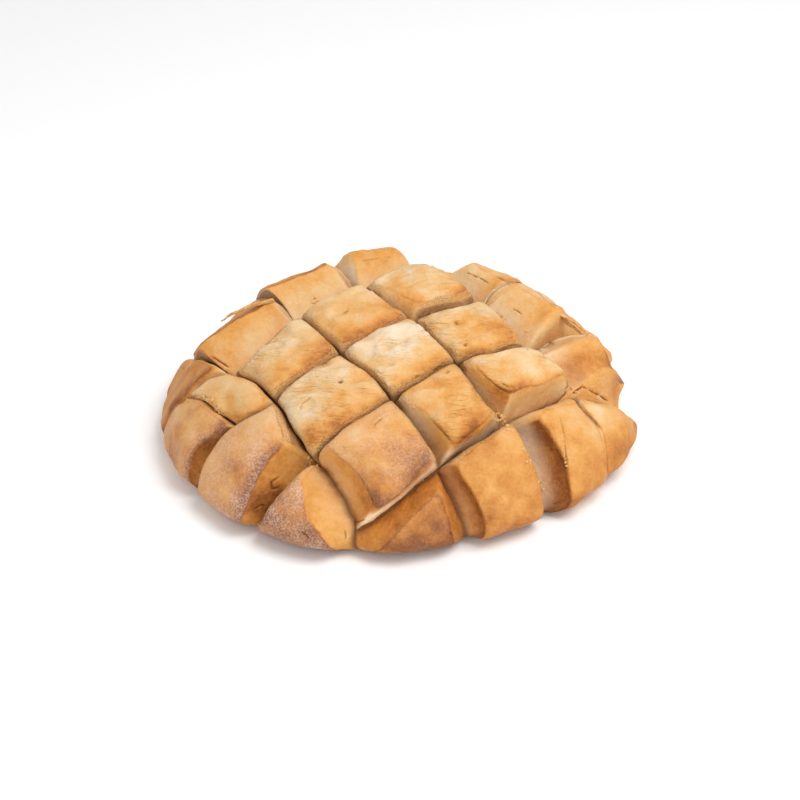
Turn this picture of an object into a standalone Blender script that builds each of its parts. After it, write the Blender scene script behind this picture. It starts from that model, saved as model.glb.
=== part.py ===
"""Candeal bread: a round loaf on a flat base, cut before baking into a slanting grid of blocks.

The loaf is one solid. Its uncut crust is a dome. The cuts are drawn on that crust laid flat, where a
point's distance from the middle is its path length down the dome, and they run almost straight there.
On that flat crust, a grows to the front right along the blocks' rows, and b grows to the back right.
Sizes are in millimetres until the mesh is made. +Z is up, and the origin is under the middle.
"""

import math

import bpy
import numpy as np
from mathutils.geometry import delaunay_2d_cdt

MM = 0.001

# The uncut crust
RADIUS = 115.0
HEIGHT = 69.0
BELLY_HEIGHT = 12.0
DOME_POWER = 2.44
SHOULDER_POWER = 1.44
BASE_SHARE = 0.84
# The loaf stands on a flat sole, and its rim is lifted a little clear of the ground
SOLE_RADIUS = 88.0
SOLE_SIDES = 24
RIM_LIFT = 0.6
LOBES = ((2, 0.0023, 0.0072), (3, 0.0118, -0.0166), (4, 0.0098, -0.0086))
PROFILE_STEPS = 400
# The far side slumps a little, from a bowed line just behind the middle
SLUMP = 8.0
SLUMP_START = 46.0
SLUMP_BOW = 0.0055
SLUMP_REACH = 34.0
SLUMP_FADE_HEIGHT = 30.0
STEEPEST_INWARD = math.radians(72)

# The cuts
SLANT = math.radians(36.2)
GROOVE_DEPTH = ((0, 17.0), (85, 16.5), (110, 14.0), (128, 10.5), (142, 7.0), (152, 3.6), (161, 1.2))
CUT_WANDER = 0.5
NARROW_WALL = 3.0
WIDE_WALL = 9.0
RIM_WALL = 1.2
SHARP_EDGE = 2.4
LIP_REACH = 11.0
CORNER_ROUNDING = 4.0
SIDE_BOW = 0.8
CROWN = 1.8
CROWN_REACH = 15.0
# Gentle waves over all the crust, as (height, waves per mm along a, along b, phase)
WAVES = (
    (0.5, 0.021, 0.013, 0.4),
    (0.4, -0.017, 0.026, 2.1),
    (0.3, 0.038, -0.031, 4.0),
    (0.25, 0.012, 0.055, 1.0),
)

# Mesh spacing
GROOVE_STEP = 5.7
WALL_RINGS = (0.30, 0.62, 0.84)
CRUST_STEP = 7.8

CRUST_COLOUR = (0.66, 0.37, 0.13)
CRUST_ROUGHNESS = 0.7

# Cuts that cross the loaf at nearly one a, from the back: where they drift to, as (b, a)
FRONT_CUTS = {
    "a0": ((-150, -136), (-112, -122), (-84, -107), (-41, -99), (40, -98), (150, -96)),
    "a1": ((-155, -60), (-125, -53), (-112, -44), (-100, -35), (-82, -26), (160, -25)),
    "a2": ((-160, 6), (-128, 3), (-104, 4), (-84, 13), (40, 15), (75, 12), (160, 10)),
    "a3": ((-155, 50), (-110, 50), (-87, 51), (0, 53), (39, 54), (70, 51), (150, 47)),
    "a4": ((-98, 92), (-84, 94), (-47, 94), (-16, 94), (0, 91), (14, 88), (44, 85), (83, 86), (109, 85),
           (135, 88)),
}

# Cuts that cross it at nearly one b, from the left: where they drift to, as (a, b)
SIDE_CUTS = {
    "b0": ((-50, -106), (-19, -102), (5, -102)),
    "b1": ((-140, -64), (-92, -76), (-56, -85), (-28, -84), (2, -81), (14, -81), (35, -84), (52, -87),
           (72, -89), (86, -92), (101, -102), (118, -118), (140, -134)),
    "b2": ((-155, -41), (52, -41), (88, -40), (104, -43), (155, -48)),
    "b3": ((-160, -2), (52, -2), (80, -1), (98, 3), (160, 3)),
    "b4": ((-155, 39), (50, 38), (66, 40), (84, 45), (104, 51), (152, 50)),
    "b5": ((-100, 95), (-25, 97)),
}

# Cuts that stop at another cut, as the first and last cut that they meet
STOPS = {"a4": ("b1", None), "b0": ("a1", "a2"), "b5": ("a0", "a1")}

# Where a cut is only a shallow crease, as (place along it, share of the depth)
CREASES = {"b1": ((90, 1.0), (110, 0.4)), "b4": ((92, 1.0), (104, 0.42), (140, 0.5))}

# Blocks by row, from the back. Each lies between its back, front, left and right cuts, and None is the rim.
# A side's numbers are its cut wall's widths, from the back end or the left end. A lip is how far the
# crust stands up along that side. Hollow says how far that side's wall bends in, from 0 to 1. The crown is
# how far the middle of the crust bulges.
BLOCKS = {
    "back_left": {"cuts": (None, "a0", None, "b1"), "front": (10, 12), "right": (5, 7)},
    "back_1": {"cuts": (None, "a0", "b1", "b2"), "front": (13, 11), "left": (6, 5), "right": (4, 4)},
    "back_2": {"cuts": (None, "a0", "b2", "b3"), "front": (10, 14), "left": (5, 4), "right": (6, 5)},
    "back_3": {"cuts": (None, "a0", "b3", "b4"), "front": (12, 9), "left": (3, 4), "right": (7, 5)},
    "back_right": {"cuts": (None, "a0", "b4", None), "front": (11, 8), "left": (8, 5)},
    "x": {"cuts": ("a0", "a1", None, "b1"), "right": (9, 8, 5), "front": (3, 4), "back": (4, 6),
          "lips": {"right": (1.5, 1.5)}, "crown": 0.8},
    "l": {"cuts": ("a0", "a1", "b1", "b2"), "front": (28, 20, 16), "left": (5, 4, 4), "right": (4, 5),
          "back": (5, 7), "lips": {"front": (4.0, 4.0)}, "crown": 0.3},
    "k": {"cuts": ("a0", "a1", "b2", "b3"), "front": (27, 26, 24), "left": (7, 2.5), "right": (8, 5),
          "back": (6, 5), "lips": {"front": (4.5, 4.5)}, "crown": 0.3},
    "o": {"cuts": ("a0", "a1", "b3", "b4"), "front": (27, 25, 17), "left": (5, 13), "right": (4, 7),
          "back": (5, 8), "lips": {"front": (4.5, 4.5)}, "crown": 0.0},
    "back_side": {"cuts": ("a0", "a1", "b4", "b5"), "front": (20, 16), "left": (6, 9), "right": (5, 4),
                  "back": (4, 5), "lift": -5.0},
    "back_edge": {"cuts": ("a0", "a1", "b5", None), "left": (10, 12), "front": (5, 3), "back": (4, 3)},
    "y": {"cuts": ("a1", "a2", None, "b0"), "right": (5, 3), "front": (7, 10, 10, 3), "back": (4, 3),
          "hollows": {"front": 0.8}},
    "m": {"cuts": ("a1", "a2", "b0", "b1"), "back": (2, 6), "front": (3, 2.5), "left": (2.5, 4)},
    "d": {"cuts": ("a1", "a2", "b1", "b2"), "back": (7, 6), "left": (4.5, 3), "right": (2.5, 3.5),
          "lift": -0.8, "crown": 3.2},
    "b": {"cuts": ("a1", "a2", "b2", "b3"), "back": (3, 4), "left": (4.5, 3.5), "lift": -0.8, "crown": 3.2},
    "j": {"cuts": ("a1", "a2", "b3", "b4"), "back": (5, 3), "front": (5, 6), "left": (4.5, 8.5),
          "lift": 0.8, "crown": 3.0},
    "q": {"cuts": ("a1", "a2", "b4", None), "left": (20, 20, 18), "front": (3, 5, 4), "back": (12, 12),
          "lift": 4.0, "crown": 0.5},
    "n": {"cuts": ("a2", "a3", None, "b1"), "back": (2.5, 3), "front": (4, 9, 14, 15), "right": (3, 5),
          "hollows": {"front": 0.4}},
    "e": {"cuts": ("a2", "a3", "b1", "b2"), "back": (4, 2.5), "front": (4, 3), "left": (2.5, 4),
          "lift": -0.8, "crown": 3.2},
    "c": {"cuts": ("a2", "a3", "b2", "b3"), "front": (4, 2.5), "right": (4.5, 3.5), "crown": 3.2},
    "h": {"cuts": ("a2", "a3", "b3", "b4"), "back": (6, 5), "left": (3, 3.5), "right": (2.5, 5),
          "lift": -0.8, "crown": 3.2},
    "r": {"cuts": ("a2", "a3", "b4", None), "left": (22, 24, 27), "front": (14, 12, 4), "back": (3, 4),
          "lift": 1.5, "lips": {"left": (3.5, 3.5), "front": (2.5, 2.5)}, "crown": 0.3},
    "g": {"cuts": ("a3", "a4", "b1", "b2"), "back": (2.5, 3.5), "front": (4, 6), "left": (8, 12, 11),
          "right": (4, 5), "lift": 0.6, "crown": 3.2, "hollows": {"left": 0.3}},
    "f": {"cuts": ("a3", "a4", "b2", "b3"), "front": (6, 11), "left": (5, 10), "right": (5, 4),
          "lift": -0.8, "crown": 3.2, "hollows": {"left": 0.4, "front": 0.3}},
    "i": {"cuts": ("a3", "a4", "b3", "b4"), "back": (4, 3), "front": (13, 9), "left": (5, 11),
          "lift": 0.4, "crown": 3.0, "hollows": {"left": 0.3, "front": 0.3}},
    "s": {"cuts": ("a3", "a4", "b4", None), "left": (39, 40, 42, 44), "front": (19, 20, 23, 27, 30),
          "back": (3, 3), "lips": {"left": (4.5, 4.5, 3.5, 2.5), "front": (0.0, 0.0, -1.0, -3.0)},
          "crown": 0.0, "hollows": {"left": 0.2}},
    "v": {"cuts": ("a4", None, "b1", "b2"), "back": (16, 12, 10), "left": (8, 8), "right": (6, 10, 8),
          "lift": -1.0},
    "u": {"cuts": ("a4", None, "b2", "b3"), "back": (5, 3), "left": (7, 11, 6), "right": (3, 3),
          "hollows": {"left": 0.8}},
    "t": {"cuts": ("a4", None, "b3", "b4"), "back": (7, 7), "left": (10, 18, 16, 8),
          "lips": {"left": (1.5, 1.5)}, "hollows": {"left": 1.0}},
    "w": {"cuts": ("a4", None, "b4", None), "back": (7, 12, 16), "left": (2.5, 2.5), "lift": -0.5},
    "p": {"cuts": ("a3", None, None, "b1"), "back": (2.5, 3), "right": (9, 20, 14, 4),
          "hollows": {"right": 0.3}},
}


# Thin flakes of crust that stand off the cut edges. Each station is a, b, height above the crust, width
# and thickness.
FLAKES = (
    ((33, 60, 2.0, 3.4, 2.4), (40, 64, 4.4, 3.0, 1.8), (48, 69, 5.6, 2.2, 1.4), (56, 73, 5.4, 1.2, 1.0)),
    ((37, 62, 1.6, 3.2, 2.4), (44, 68, 2.6, 2.6, 1.8), (52, 73, 2.6, 2.0, 1.4), (60, 76, 1.8, 1.2, 1.0)),
    ((-41, -43, 3.2, 2.6, 2.4), (-45, -52, 5.6, 2.4, 1.6), (-48, -60, 6.4, 2.0, 1.3),
     (-51, -67, 6.6, 1.2, 1.0)),
)
FLAKE_SIDES = 6


def ease(x, stations):
    """A smooth curve through stations of (x, value), level at each of them."""
    xs = np.array([s[0] for s in stations], float)
    values = np.array([s[1] for s in stations], float)
    k = np.clip(np.searchsorted(xs, x, side="right") - 1, 0, len(xs) - 2)
    t = np.clip((x - xs[k]) / (xs[k + 1] - xs[k]), 0, 1)
    return values[k] + (values[k + 1] - values[k]) * t * t * (3 - 2 * t)


def step(x, low, high):
    """0 below low, 1 above high, and smooth between."""
    t = np.clip((x - low) / (high - low), 0, 1)
    return t * t * (3 - 2 * t)


def dome_profile():
    """Path length, share of the radius, height and tilt of the inward direction down one meridian."""
    s = np.sin(np.linspace(0, 1, PROFILE_STEPS) * math.pi / 2)
    rise = HEIGHT - BELLY_HEIGHT
    z = BELLY_HEIGHT + rise * np.clip(1 - s**DOME_POWER, 0, 1) ** (1 / SHOULDER_POWER)
    turn = np.linspace(0, math.pi / 2, 60)[1:]
    share = np.concatenate([s, BASE_SHARE + (1 - BASE_SHARE) * np.cos(turn)])
    z = np.concatenate([z, RIM_LIFT + (BELLY_HEIGHT - RIM_LIFT) * (1 - np.sin(turn))])
    path = np.concatenate([[0], np.cumsum(np.hypot(np.diff(share) * RADIUS, np.diff(z)))])
    tilt = np.arctan2(-np.gradient(z, path), np.gradient(share * RADIUS, path))
    tilt = np.minimum(np.maximum.accumulate(tilt), STEEPEST_INWARD)
    tilt += (math.pi / 2 - STEEPEST_INWARD) * step(path, path[PROFILE_STEPS], path[-1])
    return path, share, z, tilt


PATH, SHARE, PROFILE_Z, TILT = dome_profile()
RIM = PATH[-1]


def crust_frame(ab):
    """Points of the uncut crust in space, and the directions out of the loaf there, for flat points."""
    across = ab[..., 0] * math.sin(SLANT) + ab[..., 1] * math.cos(SLANT)
    away = ab[..., 1] * math.sin(SLANT) - ab[..., 0] * math.cos(SLANT)
    path = np.hypot(across, away)
    angle = np.arctan2(away, across)
    outline = 1 + sum(c * np.cos(n * angle) + s * np.sin(n * angle) for n, c, s in LOBES)
    r = RADIUS * outline * np.interp(path, PATH, SHARE)
    tilt = np.interp(path, PATH, TILT)
    z = np.interp(path, PATH, PROFILE_Z)
    behind = away - (SLUMP_START - SLUMP_BOW * across**2)
    z = z - SLUMP * step(behind, 0, SLUMP_REACH) * step(z, 0, SLUMP_FADE_HEIGHT)
    point = np.stack([r * np.cos(angle), r * np.sin(angle), z], -1)
    flat = np.sin(tilt)
    out = np.stack([flat * np.cos(angle), flat * np.sin(angle), np.cos(tilt)], -1)
    return point, out


def cut_line(name, along):
    """Flat points of a cut at places along it."""
    along = np.asarray(along, float)
    across_blocks = name in FRONT_CUTS
    stations = FRONT_CUTS[name] if across_blocks else SIDE_CUTS[name]
    phase = int(name[1]) * 1.7 + (0.6 if across_blocks else 0)
    place = ease(along, stations)
    place = place + CUT_WANDER * (np.sin(along / 11 + phase) + 0.6 * np.sin(along / 5.3 + 2 * phase))
    return np.stack([place, along] if across_blocks else [along, place], -1)


def meeting(front_cut, side_cut):
    """The flat point where two cuts cross."""
    point = np.array([FRONT_CUTS[front_cut][0][1], SIDE_CUTS[side_cut][0][1]], float)
    for _ in range(60):
        point = np.array([cut_line(front_cut, point[1])[0], cut_line(side_cut, point[0])[1]])
    return point


def rim_end(name, sign):
    """The flat point where a cut runs out at the rim, on its low or high side."""
    along = sign * RIM
    for _ in range(200):
        point = cut_line(name, along)
        other = point[0] if name in FRONT_CUTS else point[1]
        along = 0.5 * along + 0.5 * sign * math.sqrt(max(RIM**2 - other**2, 1))
    point = cut_line(name, along)
    return point * RIM / np.hypot(*point)


def crossings(name):
    """What a cut meets, in order along it, as (other cut or None for the rim, flat point)."""
    own, others = (FRONT_CUTS, SIDE_CUTS) if name in FRONT_CUTS else (SIDE_CUTS, FRONT_CUTS)
    names = list(others)
    first, last = STOPS.get(name, (None, None))
    low = names.index(first) if first else 0
    high = names.index(last) if last else len(names) - 1
    found = []
    for other in names[low : high + 1]:
        start, end = STOPS.get(other, (None, None))
        order = list(own)
        if start and order.index(name) < order.index(start):
            continue
        if end and order.index(name) > order.index(end):
            continue
        found.append((other, meeting(name, other) if name in FRONT_CUTS else meeting(other, name)))
    if not first:
        found.insert(0, (None, rim_end(name, -1)))
    if not last:
        found.append((None, rim_end(name, 1)))
    return found


def divided_cut(name, groove_step):
    """A cut's flat points at about groove_step, with the index of each crossing among them."""
    met = crossings(name)
    axis = 1 if name in FRONT_CUTS else 0
    points, places = [met[0][1]], {(met[0][0], 0): 0}
    for (_, start), (other, end) in zip(met[:-1], met[1:]):
        count = max(1, round(np.hypot(*(end - start)) / groove_step))
        along = np.linspace(start[axis], end[axis], count + 1)[1:-1]
        points.extend(cut_line(name, along))
        places[(other, 1 if other is None else 0)] = len(points)
        points.append(end)
    return np.array(points), places


def groove_depth(ab, name):
    """How deep a cut goes at its flat points."""
    depth = ease(np.hypot(ab[:, 0], ab[:, 1]), GROOVE_DEPTH)
    if name in CREASES:
        depth = depth * ease(ab[:, 0 if name in SIDE_CUTS else 1], CREASES[name])
    return depth


class Grid:
    """All the cuts' points and the rim's, shared by the blocks on both sides."""

    def __init__(self, groove_step):
        self.cuts = {name: divided_cut(name, groove_step) for name in [*FRONT_CUTS, *SIDE_CUTS]}
        angles = []
        for points, places in self.cuts.values():
            for (other, _), k in places.items():
                if other is None:
                    angles.append(math.atan2(points[k][1], points[k][0]) % (2 * math.pi))
        angles = np.sort(angles)
        parts = []
        for start, end in zip(angles, np.append(angles[1:], angles[0] + 2 * math.pi)):
            count = max(2, round((end - start) * RIM / groove_step))
            parts.append(np.linspace(start, end, count + 1)[:-1])
        self.rim = np.concatenate(parts)

    def side(self, name, start_cut, end_cut, end_sign):
        """Flat points of a cut between two others, which may be the rim."""
        points, places = self.cuts[name]
        start = places[(start_cut, 0)]
        end = places[(end_cut, 1 if end_cut is None else 0)]
        part = points[start : end + 1]
        return part if end_sign > 0 else part[::-1]

    def arc(self, start, end):
        """Flat points of the rim, anticlockwise from one point to another."""
        low = math.atan2(start[1], start[0]) % (2 * math.pi)
        high = math.atan2(end[1], end[0]) % (2 * math.pi)
        angles = np.concatenate([self.rim, self.rim + 2 * math.pi])
        high += 2 * math.pi if high < low else 0
        inside = angles[(angles > low + 1e-6) & (angles < high - 1e-6)]
        middle = RIM * np.stack([np.cos(inside), np.sin(inside)], -1)
        return np.concatenate([[start], middle, [end]])


def block_sides(grid, block):
    """A block's sides anticlockwise: (side name or rim, flat points, widths, depths, hollows)."""
    back, front, left, right = block["cuts"]
    plan = (("left", left, back, front, 1), ("front", front, left, right, 1),
            ("right", right, back, front, -1), ("back", back, left, right, -1))
    sides = []
    for side, cut, low, high, direction in plan:
        if cut is None:
            continue
        points = grid.side(cut, low, high, direction)
        widths = np.array(block.get(side, (NARROW_WALL, NARROW_WALL)), float)[::direction]
        share = np.linspace(0, 1, len(points))
        width = np.interp(share, np.linspace(0, 1, len(widths)), widths)
        hollow = np.full(len(points), block.get("hollows", {}).get(side, 0.0))
        sides.append((side, points, width, groove_depth(points, cut), hollow))
    closed = []
    for k, side in enumerate(sides):
        closed.append(side)
        start, end = side[1][-1], sides[(k + 1) % len(sides)][1][0]
        if np.hypot(*(start - end)) > 1e-6:
            arc = grid.arc(start, end)
            depth = np.full(len(arc), GROOVE_DEPTH[-1][1])
            closed.append(("rim", arc, np.full(len(arc), RIM_WALL), depth, np.zeros(len(arc))))
    return closed


def inset_corner(before, after, width_before, width_after):
    """The flat point at both wall widths from two sides that meet in a corner."""
    normals = [np.array([-d[1], d[0]]) / np.hypot(*d) for d in (before, after)]
    return np.linalg.solve(np.array(normals), [width_before, width_after])


def rounded(loop, reach):
    """A closed line with its corners rounded by averaging over a reach along it."""
    length = np.hypot(*(np.roll(loop, -1, 0) - loop).T).sum()
    spread = max(1, int(round(len(loop) * reach / length)))
    for _ in range(3):
        total = sum(np.roll(loop, k, 0) for k in range(-spread, spread + 1))
        loop = total / (2 * spread + 1)
    return loop


def round_corners(sides, column):
    """A side's values for each boundary point, passing smoothly round the corners."""
    values = np.concatenate([s[column][:-1] for s in sides])
    ground = np.concatenate([s[1][:-1] for s in sides])
    gap = np.hypot(*(ground[:, None] - ground[None]).transpose(2, 0, 1))
    weight = np.exp(-((gap / CORNER_ROUNDING) ** 2))
    return weight @ values / weight.sum(1)


def crust_edge(sides):
    """The crust's edge facing each boundary point of a block, and a fine copy of the edge per side."""
    count = len(sides)
    corners = []
    for k, (_, points, width, _, _) in enumerate(sides):
        _, before, width_before, _, _ = sides[k - 1]
        corners.append(points[0] + inset_corner(before[-1] - before[-2], points[1] - points[0],
                                                width_before[-1], width[0]))
    fine = 60
    t = np.linspace(0, 1, fine, endpoint=False)
    parts = []
    for k, (_, points, width, _, _) in enumerate(sides):
        start, end = corners[k], corners[(k + 1) % count]
        share = np.linspace(0, 1, len(points))
        chord = points[0] + (points[-1] - points[0]) * share[:, None]
        bend = np.stack([np.interp(t, share, (points - chord)[:, axis]) for axis in (0, 1)], -1)
        along = (end - start) / np.hypot(*(end - start))
        inward = np.array([-along[1], along[0]])
        taper = np.interp(t, share, width) - (width[0] + (width[-1] - width[0]) * t)
        bow = taper - SIDE_BOW * np.sin(math.pi * t)
        parts.append(start + (end - start) * t[:, None] + bend + inward * bow[:, None])
    loop = rounded(np.concatenate(parts), CORNER_ROUNDING / 3)
    path = np.hypot(*loop.T)[:, None]
    loop = loop * np.minimum(1, (RIM - RIM_WALL) / path)
    closed = np.concatenate([loop, loop[:1]])
    facing = []
    for k, (_, points, _, _, _) in enumerate(sides):
        place = fine * (k + np.linspace(0, 1, len(points))[:-1])
        facing.append(np.stack([np.interp(place, np.arange(len(closed)), closed[:, axis])
                                for axis in (0, 1)], -1))
    return np.concatenate(facing), [loop[k * fine : (k + 1) * fine] for k in range(count)]


def nearest(points, line):
    """Distance from each flat point to the nearest point of a line."""
    gaps = points[:, None, :] - line[None, :, :]
    return np.sqrt((gaps**2).sum(-1).min(1))


def soft_nearest(points, edges):
    """A smooth stand-in for the distance to the nearest of a block's edges."""
    gaps = np.array([nearest(points, edge) for edge in edges])
    return (np.maximum(gaps, 0.05) ** -3.0).sum(0) ** (-1 / 3)


def crust_lift(ab, block, sides, edges):
    """How far a block's crust stands above the dome: its lift, its waves and its raised lips."""
    lift = np.full(len(ab), float(block.get("lift", 0)))
    for height, along_a, along_b, phase in WAVES:
        lift += height * np.sin(2 * math.pi * (along_a * ab[:, 0] + along_b * ab[:, 1]) + phase)
    for side, heights in block.get("lips", {}).items():
        k = [s[0] for s in sides].index(side)
        heights = heights if side in ("left", "front") else heights[::-1]
        place = np.linspace(0, 1, len(edges[k]))
        gap = np.linalg.norm(ab[:, None] - edges[k][None], axis=2)
        height = np.interp(place, np.linspace(0, 1, len(heights)), heights)[gap.argmin(1)]
        lift += height * np.exp(-((gap.min(1) / LIP_REACH) ** 2))
    return lift


def wall_section(width, depth, hollow, t):
    """Share of the way out from the cut, and depth under the crust, up a wall, t from 0 to 1."""
    open_share = step(width, NARROW_WALL + 1, WIDE_WALL)
    foot = 0.10 + (0.26 + 0.26 * hollow) * open_share
    foot_depth = depth * (0.30 + (0.34 + 0.28 * hollow) * open_share)
    shoulder = 0.2 + (1 - SHARP_EDGE / np.maximum(width, SHARP_EDGE) - 0.2) * open_share
    shoulder = shoulder + (0.96 - shoulder) * hollow
    shoulder_depth = depth * (0.45 * hollow * open_share + 0.09 * (1 - open_share))
    b1, b2, b3 = 3 * (1 - t) ** 2 * t, 3 * (1 - t) * t**2, t**3
    return b1 * foot + b2 * shoulder + b3, (1 - t) ** 3 * depth + b1 * foot_depth + b2 * shoulder_depth


def wall_points(ground, edge, width, depth, hollow, lift, t):
    """Points in space up a block's walls at t, for boundary points and the crust edge facing them."""
    x, y = wall_section(width, depth, hollow, t)
    flat = ground + (edge - ground) * x[:, None]
    point, out = crust_frame(flat)
    return point + out * (lift * (1 - y / depth) - y)[:, None]


def inside(points, loop):
    """Which flat points lie inside a closed loop."""
    x, y = points[:, 0, None], points[:, 1, None]
    x0, y0 = loop.T
    x1, y1 = np.roll(loop, -1, 0).T
    crosses = (y0 > y) != (y1 > y)
    with np.errstate(divide="ignore", invalid="ignore"):
        hit = x < (x1 - x0) * (y - y0) / (y1 - y0) + x0
    return (crosses & hit).sum(1) % 2 == 1


def lattice(loop, spacing):
    """Flat points of a triangular lattice inside a loop, clear of it."""
    low, high = loop.min(0), loop.max(0)
    rows = np.arange(low[1], high[1], spacing * math.sqrt(0.75))
    points = [(x + (k % 2) * spacing / 2, y) for k, y in enumerate(rows)
              for x in np.arange(low[0], high[0], spacing)]
    points = np.array(points)
    points = points[inside(points, loop)]
    return points[nearest(points, loop) > 0.55 * spacing]


def filled(loop, points):
    """Triangles over a closed loop and the points inside it."""
    vertices = [tuple(p) for p in np.concatenate([loop, points])]
    count = len(loop)
    ring = [(k, (k + 1) % count) for k in range(count)]
    flat, _, faces, origins, _, _ = delaunay_2d_cdt(vertices, ring, [], 1, 1e-9)
    return [tuple(origins[v][0] for v in face) for face in faces]


class Mesh:
    """Vertices and faces under construction. A point that was added before keeps its number."""

    def __init__(self):
        self.points, self.faces, self.known = [], [], {}

    def add(self, point, key=None):
        if key is not None and key in self.known:
            return self.known[key]
        self.points.append(point)
        if key is not None:
            self.known[key] = len(self.points) - 1
        return len(self.points) - 1

    def strip(self, lower, upper):
        """Quads between two closed rings of the same count."""
        for k in range(len(lower)):
            n = (k + 1) % len(lower)
            self.faces.append((lower[k], lower[n], upper[n], upper[k]))


def add_block(mesh, grid, block):
    sides = block_sides(grid, block)
    ground = np.concatenate([s[1][:-1] for s in sides])
    depth = np.concatenate([s[3][:-1] for s in sides])
    width = round_corners(sides, 2)
    hollow = round_corners(sides, 4)
    edge, edges = crust_edge(sides)
    lift = crust_lift(edge, block, sides, edges)
    floor, out = crust_frame(ground)
    floor = floor - out * depth[:, None]
    floor[np.hypot(*ground.T) > RIM - 1e-3, 2] = RIM_LIFT
    lower = [mesh.add(p, tuple(np.round(g, 4))) for p, g in zip(floor, ground)]
    for t in (*WALL_RINGS, 1.0):
        upper = [mesh.add(p) for p in wall_points(ground, edge, width, depth, hollow, lift, t)]
        mesh.strip(lower, upper)
        lower = upper
    points = lattice(edge, CRUST_STEP)
    inward = soft_nearest(points, edges)
    crown = block.get("crown", CROWN) * (1 - (1 - np.minimum(inward / CROWN_REACH, 1)) ** 3)
    point, out = crust_frame(points)
    point = point + out * (crust_lift(points, block, sides, edges) + crown)[:, None]
    numbers = lower + [mesh.add(p) for p in point]
    mesh.faces.extend(tuple(numbers[v] for v in face) for face in filled(edge, points))


def add_base(mesh, grid):
    """The underside: the flat sole, and the slight rise from it to the rim."""
    ring = [mesh.known[tuple(np.round(RIM * np.array([math.cos(a), math.sin(a)]), 4))] for a in grid.rim]
    turn = np.linspace(0, 2 * math.pi, SOLE_SIDES, endpoint=False)
    sole = SOLE_RADIUS * np.stack([np.cos(turn), np.sin(turn), np.zeros(SOLE_SIDES)], -1)
    numbers = ring + [mesh.add(p) for p in sole]
    rim = np.array([mesh.points[k][:2] for k in ring])
    mesh.faces.extend(tuple(numbers[v] for v in reversed(face)) for face in filled(rim, sole[:, :2]))


def new_object(name, points, faces, collection):
    """An object from points in millimetres."""
    data = bpy.data.meshes.new(name)
    data.from_pydata([tuple(p) for p in points * MM], [], faces)
    made = bpy.data.objects.new(name, data)
    collection.objects.link(made)
    return made


def flake(stations):
    """A flat, tapering sliver's points and faces, its first end inside the loaf."""
    stations = np.array(stations, float)
    middle, out = crust_frame(stations[:, :2])
    middle = middle + out * stations[:, 2:3]
    along = np.gradient(middle, axis=0)
    across = np.cross(along, out)
    across /= np.linalg.norm(across, axis=1)[:, None]
    turn = np.linspace(0, 2 * math.pi, FLAKE_SIDES, endpoint=False)
    ring = (middle[:, None] + 0.5 * np.cos(turn)[None, :, None] * (across * stations[:, 3:4])[:, None]
            + 0.5 * np.sin(turn)[None, :, None] * (out * stations[:, 4:5])[:, None])
    faces = [tuple(range(FLAKE_SIDES)), tuple(reversed(range(ring[:-1].size // 3, ring.size // 3)))]
    for k in range(len(stations) - 1):
        for n in range(FLAKE_SIDES):
            low, high = k * FLAKE_SIDES, (k + 1) * FLAKE_SIDES
            m = (n + 1) % FLAKE_SIDES
            faces.append((low + n, high + n, high + m, low + m))
    return ring.reshape(-1, 3), faces


def fuse_flakes(loaf, centre):
    """Joins the flakes to the loaf as one solid."""
    flakes = bpy.data.collections.new("flakes")
    bpy.context.scene.collection.children.link(flakes)
    for k, stations in enumerate(FLAKES):
        points, faces = flake(stations)
        new_object(f"flake_{k}", points - centre, faces, flakes)
    union = loaf.modifiers.new("flakes", "BOOLEAN")
    union.operation = "UNION"
    union.operand_type = "COLLECTION"
    union.collection = flakes
    union.solver = "EXACT"
    graph = bpy.context.evaluated_depsgraph_get()
    fused = bpy.data.meshes.new_from_object(loaf.evaluated_get(graph))
    loaf.modifiers.remove(union)
    loaf.data = fused
    for piece in list(flakes.objects):
        bpy.data.objects.remove(piece, do_unlink=True)
    bpy.data.collections.remove(flakes)


def crust_material():
    material = bpy.data.materials.new("baked_crust")
    material.use_nodes = True
    shader = material.node_tree.nodes["Principled BSDF"]
    shader.inputs["Base Color"].default_value = (*CRUST_COLOUR, 1)
    shader.inputs["Roughness"].default_value = CRUST_ROUGHNESS
    return material


def make_loaf():
    grid = Grid(GROOVE_STEP)
    mesh = Mesh()
    for block in BLOCKS.values():
        add_block(mesh, grid, block)
    add_base(mesh, grid)
    points = np.array(mesh.points)
    centre = (points.min(0) + points.max(0)) / 2
    centre[2] = 0
    loaf = new_object("loaf", points - centre, mesh.faces, bpy.context.scene.collection)
    fuse_flakes(loaf, centre)
    loaf.data.materials.append(crust_material())
    loaf.data.shade_smooth()
    return loaf


for old in list(bpy.data.objects):
    bpy.data.objects.remove(old, do_unlink=True)
make_loaf()
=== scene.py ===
"""Candeal bread: the look of the round, deeply cut loaf.

The loaf is worked out as the model is. Its uncut crust is a dome, and the cuts are drawn on that crust laid
flat, where a grows to the front right along the blocks' rows and b grows to the back right. This script
makes the same blocks with a fine surface, adds relief, cracks, flakes and crumbs, and colours the crust and
the cut faces by how far they lie from the crust's edge. Lengths are in millimetres until a mesh is made.
"""

import math
from collections import namedtuple
from functools import partial, reduce

import bmesh
import bpy
import numpy as np
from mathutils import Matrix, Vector
from mathutils.bvhtree import BVHTree
from mathutils.geometry import delaunay_2d_cdt


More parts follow.
